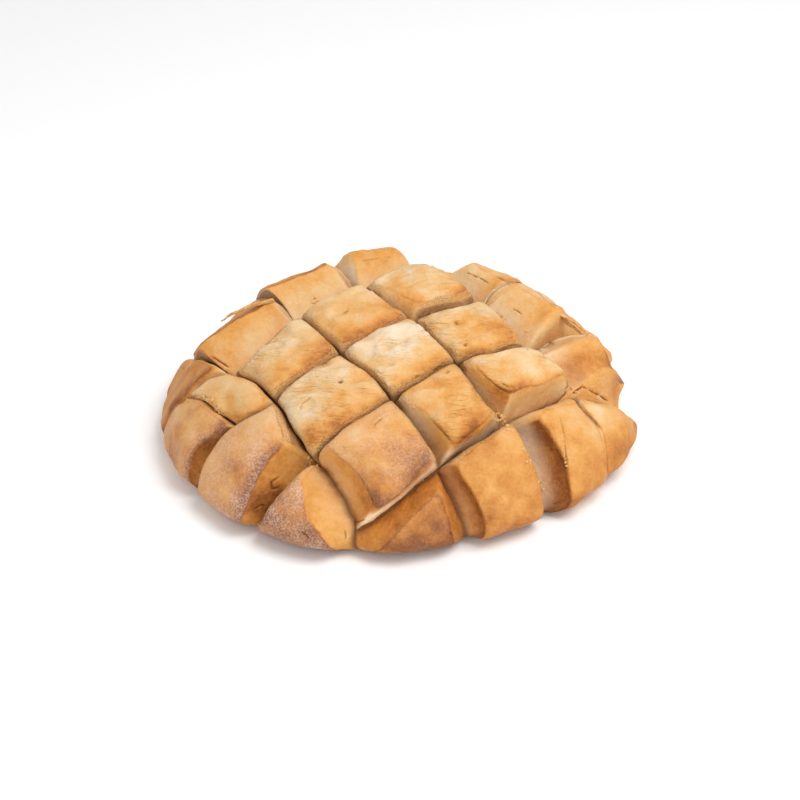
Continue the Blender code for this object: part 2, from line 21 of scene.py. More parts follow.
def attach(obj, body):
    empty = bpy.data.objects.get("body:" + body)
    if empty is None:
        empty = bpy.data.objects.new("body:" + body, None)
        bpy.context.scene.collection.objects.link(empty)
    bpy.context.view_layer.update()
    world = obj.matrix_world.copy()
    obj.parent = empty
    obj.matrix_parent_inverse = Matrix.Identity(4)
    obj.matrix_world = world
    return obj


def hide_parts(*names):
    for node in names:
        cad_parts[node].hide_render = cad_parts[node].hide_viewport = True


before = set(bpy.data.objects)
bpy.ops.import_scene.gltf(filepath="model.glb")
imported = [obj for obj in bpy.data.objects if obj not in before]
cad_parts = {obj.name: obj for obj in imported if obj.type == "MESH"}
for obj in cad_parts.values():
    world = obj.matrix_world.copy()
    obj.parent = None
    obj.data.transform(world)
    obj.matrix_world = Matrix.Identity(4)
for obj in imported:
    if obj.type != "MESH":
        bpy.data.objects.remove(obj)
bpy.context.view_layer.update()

MM = 0.001
FULL_TURN = 2 * math.pi

# The uncut crust, a dome over a belly that narrows to the base
RADIUS = 115.0
HEIGHT = 69.0
BELLY_HEIGHT = 12.0
DOME_POWER = 2.44
SHOULDER_POWER = 1.44
BASE_SHARE = 0.84
STEEPEST_INWARD = math.radians(72)
DOME_STEPS = 400
BELLY_STEPS = 60
# The loaf stands on a flat sole, and its rim is lifted a little clear of the ground
SOLE_RADIUS = 88.0
RIM_LIFT = 0.6
# Radii of the rings that fill the sole
SOLE_RINGS = (SOLE_RADIUS, 0.8 * SOLE_RADIUS, 0.6 * SOLE_RADIUS, 0.35 * SOLE_RADIUS)
# The outline's lobes, as (how many go round, their cosine and sine shares of the radius)
LOBES = ((2, 0.0023, 0.0072), (3, 0.0118, -0.0166), (4, 0.0098, -0.0086))
# The far side slumps a little, from a bowed line just behind the middle
SLUMP = 8.0
SLUMP_START = 46.0
SLUMP_BOW = 0.0055
SLUMP_REACH = 34.0
SLUMP_FADE_HEIGHT = 30.0

# The cuts: how the grid slants, and how deep a cut is at distances from the middle of the flat crust
SLANT = math.radians(36.2)
GROOVE_DEPTH = ((0, 17.0), (85, 16.5), (110, 14.0), (128, 10.5), (142, 7.0), (152, 3.6), (161, 1.2))
CUT_WANDER = 0.5
NARROW_WALL = 3.0
WIDE_WALL = 9.0
RIM_WALL = 1.2
# How much of a narrow wall's width is left where the crumb has swollen into the cut
CLOSED = 0.72
# Wall widths between which that swelling ends
CLOSED_WIDTHS = (4.0, 7.0)
SHARP_EDGE = 2.4
LIP_REACH = 11.0
CORNER_ROUNDING = 4.0
SIDE_BOW = 0.8
CROWN = 1.8
CROWN_REACH = 15.0
# Points on the fine line along one side of a block's crust
EDGE_STEPS = 60
# Gentle waves over all the crust, as (height, waves per mm along a, along b, phase)
WAVES = (
    (0.5, 0.021, 0.013, 0.4),
    (0.4, -0.017, 0.026, 2.1),
    (0.3, 0.038, -0.031, 4.0),
    (0.25, 0.012, 0.055, 1.0),
)

# Where the middle of the model's box lies on the flat grid
CENTRE = np.array((0.865, 1.754, 0.0))

# Mesh spacing, and how much coarser the blocks are that face away
GROOVE_STEP = 1.6
RING_STEP = 1.75
FEWEST_RINGS = 6
CRUST_STEP = 1.42
FAR_SHARE = 2.0
FAR_BLOCKS = ("back_left", "back_1", "back_2", "back_3", "back_right", "back_side", "back_edge")

# Near pits and cracks the mesh's sides are halved, at most this often, until they are short enough: how
# short at the form itself, how fast that grows away from it, and after how many of its widths it starts
REFINE_PASSES = 4
COARSEST = 9.0
PIT_MESH = (0.6, 0.9, 2.0)
CRACK_MESH = (0.5, 1.8, 1.6)
# How a triangle is divided when none of its sides, its first, its first two or all three are halved.
# Corners are 0 to 2, and 3 to 5 are the middles of the sides that start at them.
DIVISIONS = {
    0: ((0, 1, 2),),
    1: ((0, 3, 2), (3, 1, 2)),
    2: ((3, 1, 4), (0, 3, 4), (0, 4, 2)),
    3: ((0, 3, 5), (3, 1, 4), (5, 4, 2), (3, 4, 5)),
}

# What a vertex on the tops has as its distance up a wall, and one on the sole as its distance inward
TOP_VALUE = 20.0
SOLE_VALUE = 5.0

# The photograph's camera: its distance from a point over the base, its height angle, and its focal length
# and that point's place in an 800 by 800 picture, in pixels
AIM = np.array((0.0, 0.0, 30.0))
CAMERA_DISTANCE = 800.0
CAMERA_ELEVATION = math.radians(33.8)
FOCAL = 1627.0
AIM_PIXEL = (396.3, 367.8)
PICTURE = 800
SENSOR_WIDTH = 36.0

# Cuts that cross the loaf at nearly one a, from the back: where they drift to, as (b, a)
FRONT_CUTS = {
    "a0": ((-150, -136), (-112, -122), (-84, -107), (-41, -99), (40, -98), (150, -96)),
    "a1": ((-155, -60), (-125, -53), (-112, -44), (-100, -35), (-82, -26), (160, -25)),
    "a2": ((-160, 6), (-128, 3), (-104, 4), (-84, 13), (40, 15), (75, 12), (160, 10)),
    "a3": ((-155, 50), (-110, 50), (-87, 51), (0, 53), (39, 54), (70, 51), (150, 47)),
    "a4": ((-98, 92), (-84, 94), (-47, 94), (-16, 94), (0, 91), (14, 88), (44, 85), (83, 86), (109, 85),
           (135, 88)),
}

# Cuts that cross it at nearly one b, from the left: where they drift to, as (a, b)
SIDE_CUTS = {
    "b0": ((-50, -106), (-19, -102), (5, -102)),
    "b1": ((-140, -64), (-92, -76), (-56, -85), (-28, -84), (2, -81), (14, -81), (35, -84), (52, -87),
           (72, -89), (86, -92), (101, -102), (118, -118), (140, -134)),
    "b2": ((-155, -41), (52, -41), (88, -40), (104, -43), (155, -48)),
    "b3": ((-160, -2), (52, -2), (80, -1), (98, 3), (160, 3)),
    "b4": ((-155, 39), (50, 38), (66, 40), (84, 45), (104, 51), (152, 50)),
    "b5": ((-100, 95), (-25, 97)),
}

# Cuts that stop at another cut, as the first and last cut that they meet
STOPS = {"a4": ("b1", None), "b0": ("a1", "a2"), "b5": ("a0", "a1")}

# Where a cut is only a shallow crease, as (place along it, share of the depth)
CREASES = {"b1": ((90, 1.0), (110, 0.4)), "b4": ((92, 1.0), (104, 0.30), (140, 0.36))}
# The crust passes over the second of them unbroken. Where that sets in, from and to, along a and b
UNBROKEN_A = (88, 96)
UNBROKEN_B = (20, 26)

# Blocks by row, from the back. Each lies between its back, front, left and right cuts, and None is the rim.
# A side's numbers are its cut wall's widths, from the back end or the left end. A lip is how far the
# crust stands up along that side. Hollow says how far that side's wall bends in, from 0 to 1. The crown is
# how far the middle of the crust bulges.
BLOCKS = {
    "back_left": {"cuts": (None, "a0", None, "b1"), "front": (10, 12), "right": (5, 7)},
    "back_1": {"cuts": (None, "a0", "b1", "b2"), "front": (13, 11), "left": (6, 5), "right": (4, 4)},
    "back_2": {"cuts": (None, "a0", "b2", "b3"), "front": (10, 14), "left": (5, 4), "right": (6, 5)},
    "back_3": {"cuts": (None, "a0", "b3", "b4"), "front": (12, 9), "left": (3, 4), "right": (7, 5)},
    "back_right": {"cuts": (None, "a0", "b4", None), "front": (11, 8), "left": (8, 5)},
    "x": {"cuts": ("a0", "a1", None, "b1"), "right": (5, 5, 4), "front": (3, 4), "back": (4, 6),
          "lips": {"right": (1.5, 1.5)}, "crown": 0.8},
    "l": {"cuts": ("a0", "a1", "b1", "b2"), "front": (28, 20, 16), "left": (5, 4, 4), "right": (4, 5),
          "back": (5, 7), "lips": {"front": (4.0, 4.0)}, "crown": 0.3},
    "k": {"cuts": ("a0", "a1", "b2", "b3"), "front": (27, 26, 24), "left": (7, 2.5), "right": (8, 5),
          "back": (6, 5), "lips": {"front": (4.5, 4.5)}, "crown": 0.3},
    "o": {"cuts": ("a0", "a1", "b3", "b4"), "front": (27, 25, 17), "left": (5, 13), "right": (4, 7),
          "back": (5, 8), "lips": {"front": (4.5, 4.5)}, "crown": 0.0},
    "back_side": {"cuts": ("a0", "a1", "b4", "b5"), "front": (20, 16), "left": (6, 9), "right": (5, 4),
                  "back": (4, 5), "lift": -5.0},
    "back_edge": {"cuts": ("a0", "a1", "b5", None), "left": (10, 12), "front": (5, 3), "back": (4, 3)},
    "y": {"cuts": ("a1", "a2", None, "b0"), "right": (5, 3), "front": (7, 10, 10, 3), "back": (4, 3),
          "hollows": {"front": 0.8}},
    "m": {"cuts": ("a1", "a2", "b0", "b1"), "back": (2, 6), "front": (3, 2.5), "left": (2.5, 4)},
    "d": {"cuts": ("a1", "a2", "b1", "b2"), "back": (7, 6), "left": (4.5, 3), "right": (2.5, 3.5),
          "lift": -0.8, "crown": 3.2},
    "b": {"cuts": ("a1", "a2", "b2", "b3"), "back": (3, 4), "left": (4.5, 3.5), "lift": -0.8, "crown": 3.2},
    "j": {"cuts": ("a1", "a2", "b3", "b4"), "back": (5, 3), "front": (5, 6), "left": (4.5, 8.5),
          "lift": 0.8, "crown": 3.0},
    "q": {"cuts": ("a1", "a2", "b4", None), "left": (20, 20, 18), "front": (2, 3, 3), "back": (12, 12),
          "lift": 4.0, "crown": 0.5},
    "n": {"cuts": ("a2", "a3", None, "b1"), "back": (2.5, 3), "front": (4, 9, 14, 15), "right": (3, 5),
          "hollows": {"front": 0.4}},
    "e": {"cuts": ("a2", "a3", "b1", "b2"), "back": (4, 2.5), "front": (4, 3), "left": (2.5, 4),
          "lift": -0.8, "crown": 3.2},
    "c": {"cuts": ("a2", "a3", "b2", "b3"), "front": (4, 2.5), "right": (4.5, 3.5), "crown": 3.2},
    "h": {"cuts": ("a2", "a3", "b3", "b4"), "back": (6, 5), "left": (3, 3.5), "right": (2.5, 5),
          "lift": -0.8, "crown": 3.2},
    "r": {"cuts": ("a2", "a3", "b4", None), "left": (22, 24, 27), "front": (14, 12, 4), "back": (2, 2.5),
          "lift": 1.5, "lips": {"left": (3.5, 3.5), "front": (2.5, 2.5)}, "crown": 0.3,
          "hollows": {"front": -0.35}},
    "g": {"cuts": ("a3", "a4", "b1", "b2"), "back": (2.5, 3.5), "front": (4, 6), "left": (8, 12, 11),
          "right": (4, 5), "lift": 0.6, "crown": 3.2, "hollows": {"left": 0.3}},
    "f": {"cuts": ("a3", "a4", "b2", "b3"), "front": (5, 8), "left": (5, 10), "right": (5, 4),
          "lift": -0.8, "crown": 3.2, "hollows": {"left": 0.4, "front": 0.3}},
    "i": {"cuts": ("a3", "a4", "b3", "b4"), "back": (4, 3), "front": (9, 8), "left": (5, 11),
          "lift": 0.4, "crown": 3.0, "hollows": {"left": 0.3, "front": 0.3}},
    "s": {"cuts": ("a3", "a4", "b4", None), "left": (39, 40, 42, 44), "front": (19, 20, 23, 27, 30),
          "back": (3, 3), "lips": {"left": (4.5, 4.5, 3.5, 2.5), "front": (0.0, 0.0, -1.0, -3.0)},
          "crown": 0.0, "hollows": {"left": 0.2}},
    "v": {"cuts": ("a4", None, "b1", "b2"), "back": (16, 12, 10), "left": (8, 8), "right": (6, 10, 8),
          "lift": -1.0},
    "u": {"cuts": ("a4", None, "b2", "b3"), "back": (5, 3), "left": (7, 11, 6), "right": (3, 3),
          "hollows": {"left": 0.8}},
    "t": {"cuts": ("a4", None, "b3", "b4"), "back": (7, 7), "left": (10, 18, 16, 8),
          "lips": {"left": (1.5, 1.5)}, "hollows": {"left": 1.0}},
    "w": {"cuts": ("a4", None, "b4", None), "back": (7, 12, 16), "left": (2.5, 2.5), "lift": -0.5},
    "p": {"cuts": ("a3", None, None, "b1"), "back": (2.5, 3), "right": (9, 20, 14, 4),
          "hollows": {"right": 0.3}},
}

# Blocks whose narrow cuts have opened, so that their walls show, and blocks whose front one has
OPEN_BLOCKS = ("m", "x", "y", "q", "r", "s", "back_left", "back_1", "back_2", "back_3", "back_right",
               "back_side", "back_edge")
OPEN_FRONTS = ("f", "g", "i")

# Each block's crust: how baked and how floury it is, from 0 to 1, how far the folds of its thin dried skin
# turn from the picture's level, in degrees, and how strong they are
# The low front blocks p, v and n are set browner, partly as painted shade where their crust faces away from
# the light.
SKIN = {
    "c": (0.22, 0.0, 8, 1.0), "d": (0.32, 0.10, -4, 1.0), "b": (0.34, 0.05, 12, 0.8),
    "e": (0.30, 0.08, 4, 0.9), "h": (0.38, 0.04, 14, 0.9), "j": (0.32, 0.05, 10, 0.7),
    "f": (0.42, 0.06, 10, 0.8), "i": (0.38, 0.06, 12, 0.8), "g": (0.60, 0.45, -6, 0.35),
    "m": (0.34, 0.08, 6, 0.5), "n": (0.58, 0.65, 0, 0.15), "p": (0.82, 0.72, 0, 0.0),
    "y": (0.56, 0.60, 0, 0.0), "x": (0.58, 0.10, 0, 0.0), "v": (0.84, 0.12, 0, 0.15),
    "u": (0.58, 0.05, 10, 0.25), "t": (0.56, 0.03, 20, 0.25), "w": (0.54, 0.03, 30, 0.15),
    "s": (0.56, 0.20, 20, 0.15), "r": (0.42, 0.30, 15, 0.2), "q": (0.36, 0.15, 10, 0.3),
    "k": (0.42, 0.20, 15, 0.15), "l": (0.50, 0.10, 20, 0.2), "o": (0.46, 0.10, 15, 0.15),
}
OTHER_SKIN = (0.45, 0.0, 0, 0.0)
SOLE_SKIN = (0.6, 0.0, 0, 0.0)
# The skin's fine creases are at least this strong on every block
LEAST_CREASED = 0.1
# The folds' height, the length and distance apart of the broad and the sharp ones, and the broad ones' share
FOLD_HEIGHT = 2.6
BROAD_FOLDS = (14.0, 3.6)
SHARP_FOLDS = (8.0, 2.1)
BROAD_SHARE = 0.62

# How baked the walls are at the crust and at the foot, and how pale the foot is: by default on each side,
# where a block's differ, and on the sole. Some blocks' own values hold painted light and shade: the t and u
# left walls and y's front are darkened as painted shade, and the f, k and o walls are lightened as painted
# light.
WALL_TONES = {"other": (0.42, 0.38, 0.20), "front": (0.50, 0.44, 0.25), "left": (0.38, 0.34, 0.45)}
OWN_WALLS = {
    "k": {"front": (0.50, 0.38, 0.35), "left": (0.40, 0.30, 0.30)},
    "l": {"front": (0.56, 0.48, 0.15), "left": (0.60, 0.48, 0.10)},
    "o": {"front": (0.52, 0.44, 0.15), "left": (0.34, 0.22, 0.70)},
    "q": {"left": (0.36, 0.34, 0.80), "front": (0.42, 0.40, 0.80)},
    "r": {"left": (0.38, 0.30, 0.60), "front": (0.46, 0.42, 0.0)},
    "s": {"left": (0.50, 0.46, 0.60), "front": (0.52, 0.48, 0.0)},
    "t": {"left": (0.95, 0.88, 0.60)},
    "u": {"left": (0.95, 0.70, 0.15)},
    "y": {"front": (0.95, 0.75, 0.0)},
    "f": {"left": (0.26, 0.18, 0.40), "front": (0.36, 0.24, 0.60)},
    "g": {"left": (0.62, 0.46, 0.10), "front": (0.64, 0.46, 0.70)},
    "i": {"left": (0.56, 0.44, 0.30), "front": (0.40, 0.30, 0.12)},
    "n": {"front": (0.66, 0.60, 0.0), "right": (0.50, 0.56, 0.0)},
    "p": {"right": (0.52, 0.46, 0.10)},
    "v": {"back": (0.82, 0.80, 0.0), "left": (0.76, 0.72, 0.0)},
}
SOLE_TONES = (0.5, 0.5, 0.0)

# Small holes pricked in the crust: place in the picture, radius, depth
PITS = (
    (324.0, 362.6, 0.9, 2.0), (340.2, 380.7, 1.0, 2.2), (446.6, 371.6, 1.0, 2.2),
    (418.0, 378.0, 1.2, 0.9), (456.0, 321.7, 0.8, 1.6), (465.4, 344.6, 0.9, 1.8),
    (345.0, 310.6, 1.1, 1.6), (275.0, 341.0, 2.0, 0.8),
)

# Cracks: places along each in the picture, half width, depth, and height of the torn edge beside it
CRACKS = (
    (((253, 510), (261, 505), (266, 506)), 0.5, 1.2, 0.3),
    (((279, 477), (271, 482), (272, 489), (280, 487)), 0.5, 0.7, 0.9),
    (((176, 458), (186, 467), (190, 477)), 0.4, 0.9, 0.2),
    (((200, 357), (214, 358), (229, 368)), 0.6, 1.2, 0.5),
    (((182, 368), (192, 372)), 0.5, 0.7, 0.2),
    (((345, 530), (346, 536), (345, 541)), 0.5, 1.2, 0.2),
    (((300, 531), (306, 535), (310, 540)), 0.5, 0.9, 0.3),
    (((308, 517), (316, 530), (325, 538)), 0.4, 0.7, 0.2),
    (((356, 522), (364, 520), (371, 520)), 0.5, 1.2, 0.3),
    (((373, 427), (380, 420), (393, 412)), 0.5, 0.8, 0.6),
    (((406, 433), (412, 436)), 0.4, 0.6, 0.3),
    (((447, 530), (454, 537)), 0.5, 0.8, 0.3),
    (((400, 394), (407, 391)), 0.4, 0.7, 0.3),
    (((468, 389), (473, 384)), 0.4, 0.7, 0.3),
    (((523, 347), (526, 349), (528, 352)), 0.5, 1.0, 0.5),
    (((500, 383), (506, 386), (511, 389)), 0.4, 0.8, 0.6),
    (((560, 418), (563, 434), (565, 450), (567, 466)), 0.4, 0.8, 0.7),
    (((548, 418), (553, 432)), 0.3, 0.6, 0.4),
    (((541, 496), (554, 504), (565, 500)), 0.5, 0.8, 0.4),
    (((565, 390), (574, 393), (582, 387), (594, 393), (608, 401)), 0.7, 1.4, 0.4),
    (((512, 309), (517, 311), (522, 315)), 0.5, 0.9, 0.4),
    (((523, 333), (529, 332)), 0.4, 0.7, 0.3),
    (((466, 273), (474, 276), (481, 279), (489, 284)), 0.4, 0.7, 0.5),
    (((315.7, 370), (314, 374)), 0.4, 0.7, 0.2),
    (((378.6, 395), (381, 398.6)), 0.4, 0.7, 0.2),
    (((419, 355.7), (424, 359)), 0.4, 0.6, 0.2),
    (((189, 400), (197, 396), (205, 397), (215, 404), (225, 415)), 0.8, 1.2, 0.7),
    (((361, 261), (376, 259), (392, 257)), 0.4, 0.6, 0.4),
    (((300, 412), (304, 404), (313, 397)), 0.5, 0.6, 0.5),
)

# Where the crust is browner or paler than its block, partly from uneven baking and partly as painted shade:
# place in the picture, reach, and the change
TONE_AND_SHADE_PATCHES = (
    (363, 345, 9, -0.12), (383, 345, 9, -0.06), (433, 358, 9, 0.12), (418, 372, 8, 0.18),
    (257, 345, 9, -0.18), (273, 382, 9, 0.10), (310, 352, 7, 0.15), (337, 375, 9, -0.10),
    (365, 372, 8, 0.22), (330, 413, 9, 0.24), (396, 312, 9, 0.20), (343, 330, 8, 0.15),
    (423, 278, 10, -0.14), (433, 298, 8, 0.17), (460, 318, 8, 0.08), (503, 335, 8, 0.16),
    (475, 345, 7, 0.14), (433, 388, 8, 0.06), (450, 421, 12, 0.45), (472, 434, 9, 0.35),
    (184, 422, 9, 0.30), (510, 362, 10, 0.15), (367, 435, 10, 0.12), (417, 442, 9, 0.20),
    (407, 468, 9, 0.22), (363, 488, 8, 0.08), (510, 518, 10, 0.12), (583, 482, 10, 0.12),
    (615, 385, 10, 0.30), (540, 345, 9, -0.15), (516, 461, 12, -0.06), (438, 432, 10, -0.15),
    (503, 272, 9, 0.30), (404, 538, 8, 0.20), (308, 433, 6, 0.40), (574, 364, 12, 0.10),
    (275, 496, 8, 0.50), (257, 510, 7, 0.35), (437, 444, 7, 0.35), (204, 372, 8, 0.10),
)

# Crumbs in the cuts and on torn edges: places along a line in the picture, how many, how far they spread
# to each side in pixels, and the largest radius
CRUMBS = (
    (((189, 399), (203, 397), (214, 404), (224, 414)), 60, 1.5, 1.2),
    (((495, 412), (501, 418), (506, 426), (513, 433)), 30, 2.0, 1.0),
    (((523, 448), (530, 463), (538, 478), (542, 487)), 36, 1.3, 0.8),
    (((556, 414), (562, 430), (565, 450), (567, 466)), 26, 1.2, 0.6),
    (((498, 311), (505, 320), (512, 330)), 14, 1.2, 0.7),
    (((310, 457), (313, 465), (317, 473)), 14, 1.8, 1.0),
    (((563, 390), (574, 392), (585, 388)), 16, 1.2, 0.7),
    (((421, 481), (426, 476), (432, 469)), 12, 1.4, 0.7),
    (((432, 312), (441, 323), (452, 339)), 16, 1.0, 0.6),
    (((312, 298), (319, 304)), 8, 1.4, 0.8),
)

# Thin flakes of crust that stand off the cut edges. Each station is a, b, height above the crust, width
# and thickness.
FLAKES = (
    ((33, 60, 2.0, 3.4, 2.4), (40, 64, 4.4, 3.0, 1.8), (48, 69, 5.6, 2.2, 1.4), (56, 73, 5.4, 1.2, 1.0)),
    ((37, 62, 1.6, 3.2, 2.4), (44, 68, 2.6, 2.6, 1.8), (52, 73, 2.6, 2.0, 1.4), (60, 76, 1.8, 1.2, 1.0)),
    ((-41, -43, 3.2, 2.6, 2.4), (-45, -52, 5.6, 2.4, 1.6), (-48, -60, 6.4, 2.0, 1.3),
     (-51, -67, 6.6, 1.2, 1.0)),
)
FLAKE_SIDES = 14
FLAKE_STATIONS = 30
FLAKE_SEED = 20

# Noise, as (amount, size of its largest waves, seed, layers). First in the relief.
SWELLS = (0.35, 12.0, 5, 3)
DIMPLES = (0.10, 2.8, 17, 2)
FOLD_DRIFT = (1.0, 13.0, 31, 1)
FOLD_PATCHES = (1.0, 16.0, 47, 2)
WALL_SWELLS = (0.25, 7.0, 61, 3)
WALL_PORES = (1.0, 1.9, 67, 2)
LIP_RAGS = (0.35, 3.2, 71, 2)
CRUMB_LUMPS = (0.35, 1.1, 5, 2)
# On the flakes, where the seed and the layers are added for each one
FLAKE_RAGS = (0.28, 2.6)
# In how baked, floury and creased the loaf is
BAKE_PATCHES = (1.0, 17.0, 101, 3)
BAKE_SPOTS = (0.10, 6.0, 103, 2)
WALL_PATCHES = (0.09, 11.0, 107, 3)
WALL_SPOTS = (0.06, 2.4, 109, 2)
FLOUR_PATCHES = (0.45, 9.0, 113, 3)
CREASE_PATCHES = (1.0, 14.0, 131, 2)
# How much wider than its layers' sum noise is spread, as it seldom reaches its ends
NOISE_GAIN = 1.6
# Large odd numbers that scatter the noise's lattice points
SCATTER = (73856093, 19349663, 83492791)
SCATTER_SEED = 2654435
SCATTER_AGAIN = 1274126177

# How much painted shade darkens the crust low on the loaf, how much browner the front edges of its tops are,
# partly as painted shade, and how much painted light pales the folds' ridges and browns their hollows
LOW_PAINTED_SHADE = 0.16
LOW_SHADE_HEIGHTS = (34.0, 8.0)
EDGE_BROWNING_AND_SHADE = 0.32
EDGE_REACH = 4.0
FOLD_PAINTED_LIGHT = 0.22
# How far up from a cut's bottom its painted shade reaches
FLOOR_SHADE_REACH = 2.2

# The crust's colours from pale to dark, and the others, in 8-bit steps
BAKE_RAMP = ((0.0, (228, 207, 178)), (0.30, (221, 179, 123)), (0.52, (216, 155, 80)), (0.74, (194, 124, 52)),
             (1.0, (134, 74, 24)))
FLOUR = (216, 186, 166)
TORN_LIP = (206, 160, 106)
CRUMB = (238, 214, 182)
# The dark brown of the painted shade in the cut floors, slits, cracks and pits, also used for the dark
# specks along narrow cuts
GROOVE_SHADE_AND_SPECKS = (122, 76, 38)
PALE_SCRAP, MIDDLE_SCRAP, GOLD_SCRAP = (BAKE_RAMP[k][1] for k in (1, 2, 3))
FLOOR_COLOUR = (250, 250, 250)

# How much the fine and the broad spots, the painted shade in the creases and painted light beside them, and
# the rims of the tops change how baked the crust is
FINE_TONE = 0.34
BROAD_TONE = 0.22
CREASE_PAINTED_LIGHT = 0.09
RIM_TONE = 0.11
# How strong the torn lip, the painted shade of the slit and the torn specks along a narrow cut are
LIP_SHARE = 0.55
SLIT_SHADE_SHARE = 0.65
SPECK_SHARE = 0.45
# Heights of the fine bumps
SKIN_BUMP = 0.50
FOLD_BUMP = 2.6
CREASE_BUMP = 0.32
TORN_BUMP = 0.9
GRAIN_BUMP = 0.18
SCRAP_BUMP = 0.25

# The studio light: the sky's strength, each lamp's place and size in metres and its power, and what they
# point at
SKY = 0.74
LAMPS = (("key", (0.42, -0.24, 0.98), 0.60, 6.8), ("fill", (-0.1, -0.9, 0.6), 0.8, 1.4))
LAMP_AIM = (0, 0, 0.03)
# Half the floor's width
FLOOR_HALF = 3000.0

# One side of a block, with values at each of its flat points
Side = namedtuple("Side", "name points width depth hollow")


def step(x, low, high):
    """0 at low, 1 at high, and smooth between."""
    t = np.clip((x - low) / (high - low), 0, 1)
    return t * t * (3 - 2 * t)


def bell(x, reach):
    """1 where x is 0, and falling smoothly to nothing at about twice the reach."""
    return np.exp(-((x / reach) ** 2))


def ease(x, stations):
    """A smooth curve through stations of (x, value), level at each of them."""
    xs, values = np.array(stations, float).T
    k = np.clip(np.searchsorted(xs, x, side="right") - 1, 0, len(xs) - 2)
    return values[k] + (values[k + 1] - values[k]) * step(x, xs[k], xs[k + 1])


def spread_evenly(share, numbers):
    """Numbers that are spread evenly along a line, read at shares of its length."""
    return np.interp(share, np.linspace(0, 1, len(numbers)), numbers)


def interpolated(x, xs, rows):
    """Rows that stand at the places xs, read at x between them."""
    return np.stack([np.interp(x, xs, column) for column in np.array(rows, float).T], -1)


def angle_of(point):
    """A flat point's angle round the middle, from 0 to a full turn."""
    return math.atan2(point[1], point[0]) % FULL_TURN


def on_rim(angles):
    """The rim's flat points at angles round the middle."""
    return RIM * np.stack([np.cos(angles), np.sin(angles)], -1)


def dome_profile():
    """Path length, share of the radius, height and tilt of the outward direction down one meridian."""
    s = np.sin(np.linspace(0, 1, DOME_STEPS) * math.pi / 2)
    rise = HEIGHT - BELLY_HEIGHT
    z = BELLY_HEIGHT + rise * np.clip(1 - s**DOME_POWER, 0, 1) ** (1 / SHOULDER_POWER)
    turn = np.linspace(0, math.pi / 2, BELLY_STEPS)[1:]
    share = np.concatenate([s, BASE_SHARE + (1 - BASE_SHARE) * np.cos(turn)])
    z = np.concatenate([z, RIM_LIFT + (BELLY_HEIGHT - RIM_LIFT) * (1 - np.sin(turn))])
    path = np.concatenate([[0], np.cumsum(np.hypot(np.diff(share) * RADIUS, np.diff(z)))])
    tilt = np.arctan2(-np.gradient(z, path), np.gradient(share * RADIUS, path))
    tilt = np.minimum(np.maximum.accumulate(tilt), STEEPEST_INWARD)
    tilt += (math.pi / 2 - STEEPEST_INWARD) * step(path, path[DOME_STEPS], path[-1])
    return path, share, z, tilt


PATH, SHARE, PROFILE_Z, TILT = dome_profile()
RIM = PATH[-1]


def crust_frame(ab):
    """Points of the uncut crust in space, and the directions out of the loaf there, for flat points."""
    across = ab[..., 0] * math.sin(SLANT) + ab[..., 1] * math.cos(SLANT)
    away = ab[..., 1] * math.sin(SLANT) - ab[..., 0] * math.cos(SLANT)
    path = np.hypot(across, away)
    angle = np.arctan2(away, across)
    outline = 1 + sum(c * np.cos(n * angle) + s * np.sin(n * angle) for n, c, s in LOBES)
    r = RADIUS * outline * np.interp(path, PATH, SHARE)
    tilt = np.interp(path, PATH, TILT)
    z = np.interp(path, PATH, PROFILE_Z)
    behind = away - (SLUMP_START - SLUMP_BOW * across**2)
    z = z - SLUMP * step(behind, 0, SLUMP_REACH) * step(z, 0, SLUMP_FADE_HEIGHT)
    point = np.stack([r * np.cos(angle), r * np.sin(angle), z], -1)
    flat = np.sin(tilt)
    out = np.stack([flat * np.cos(angle), flat * np.sin(angle), np.cos(tilt)], -1)
    return point, out


def cut_line(name, along):
    """Flat points of a cut at places along it."""
    along = np.asarray(along, float)
    across_blocks = name in FRONT_CUTS
    stations = FRONT_CUTS[name] if across_blocks else SIDE_CUTS[name]
    phase = int(name[1]) * 1.7 + (0.6 if across_blocks else 0)
    place = ease(along, stations)
    place = place + CUT_WANDER * (np.sin(along / 11 + phase) + 0.6 * np.sin(along / 5.3 + 2 * phase))
    return np.stack([place, along] if across_blocks else [along, place], -1)


def meeting(front_cut, side_cut):
    """The flat point where two cuts cross, found by going from one to the other in turn."""
    point = np.array([FRONT_CUTS[front_cut][0][1], SIDE_CUTS[side_cut][0][1]], float)
    for _ in range(60):
        point = np.array([cut_line(front_cut, point[1])[0], cut_line(side_cut, point[0])[1]])
    return point


def rim_end(name, sign):
    """The flat point where a cut runs out at the rim, on its low or high side."""
    along = sign * RIM
    for _ in range(200):
        point = cut_line(name, along)
        other = point[0] if name in FRONT_CUTS else point[1]
        along = 0.5 * along + 0.5 * sign * math.sqrt(max(RIM**2 - other**2, 1))
    point = cut_line(name, along)
    return point * RIM / np.hypot(*point)


def crossings(name):
    """What a cut meets, in order along it, as (other cut or None for the rim, flat point)."""
    own, others = (FRONT_CUTS, SIDE_CUTS) if name in FRONT_CUTS else (SIDE_CUTS, FRONT_CUTS)
    order, names = list(own), list(others)
    first, last = STOPS.get(name, (None, None))
    low = names.index(first) if first else 0
    high = names.index(last) if last else len(names) - 1
    found = []
    for other in names[low : high + 1]:
        start, end = STOPS.get(other, (None, None))
        starts_later = start and order.index(name) < order.index(start)
        ends_sooner = end and order.index(name) > order.index(end)
        if not starts_later and not ends_sooner:
            pair = (name, other) if name in FRONT_CUTS else (other, name)
            found.append((other, meeting(*pair)))
    if not first:
        found.insert(0, (None, rim_end(name, -1)))
    if not last:
        found.append((None, rim_end(name, 1)))
    return found


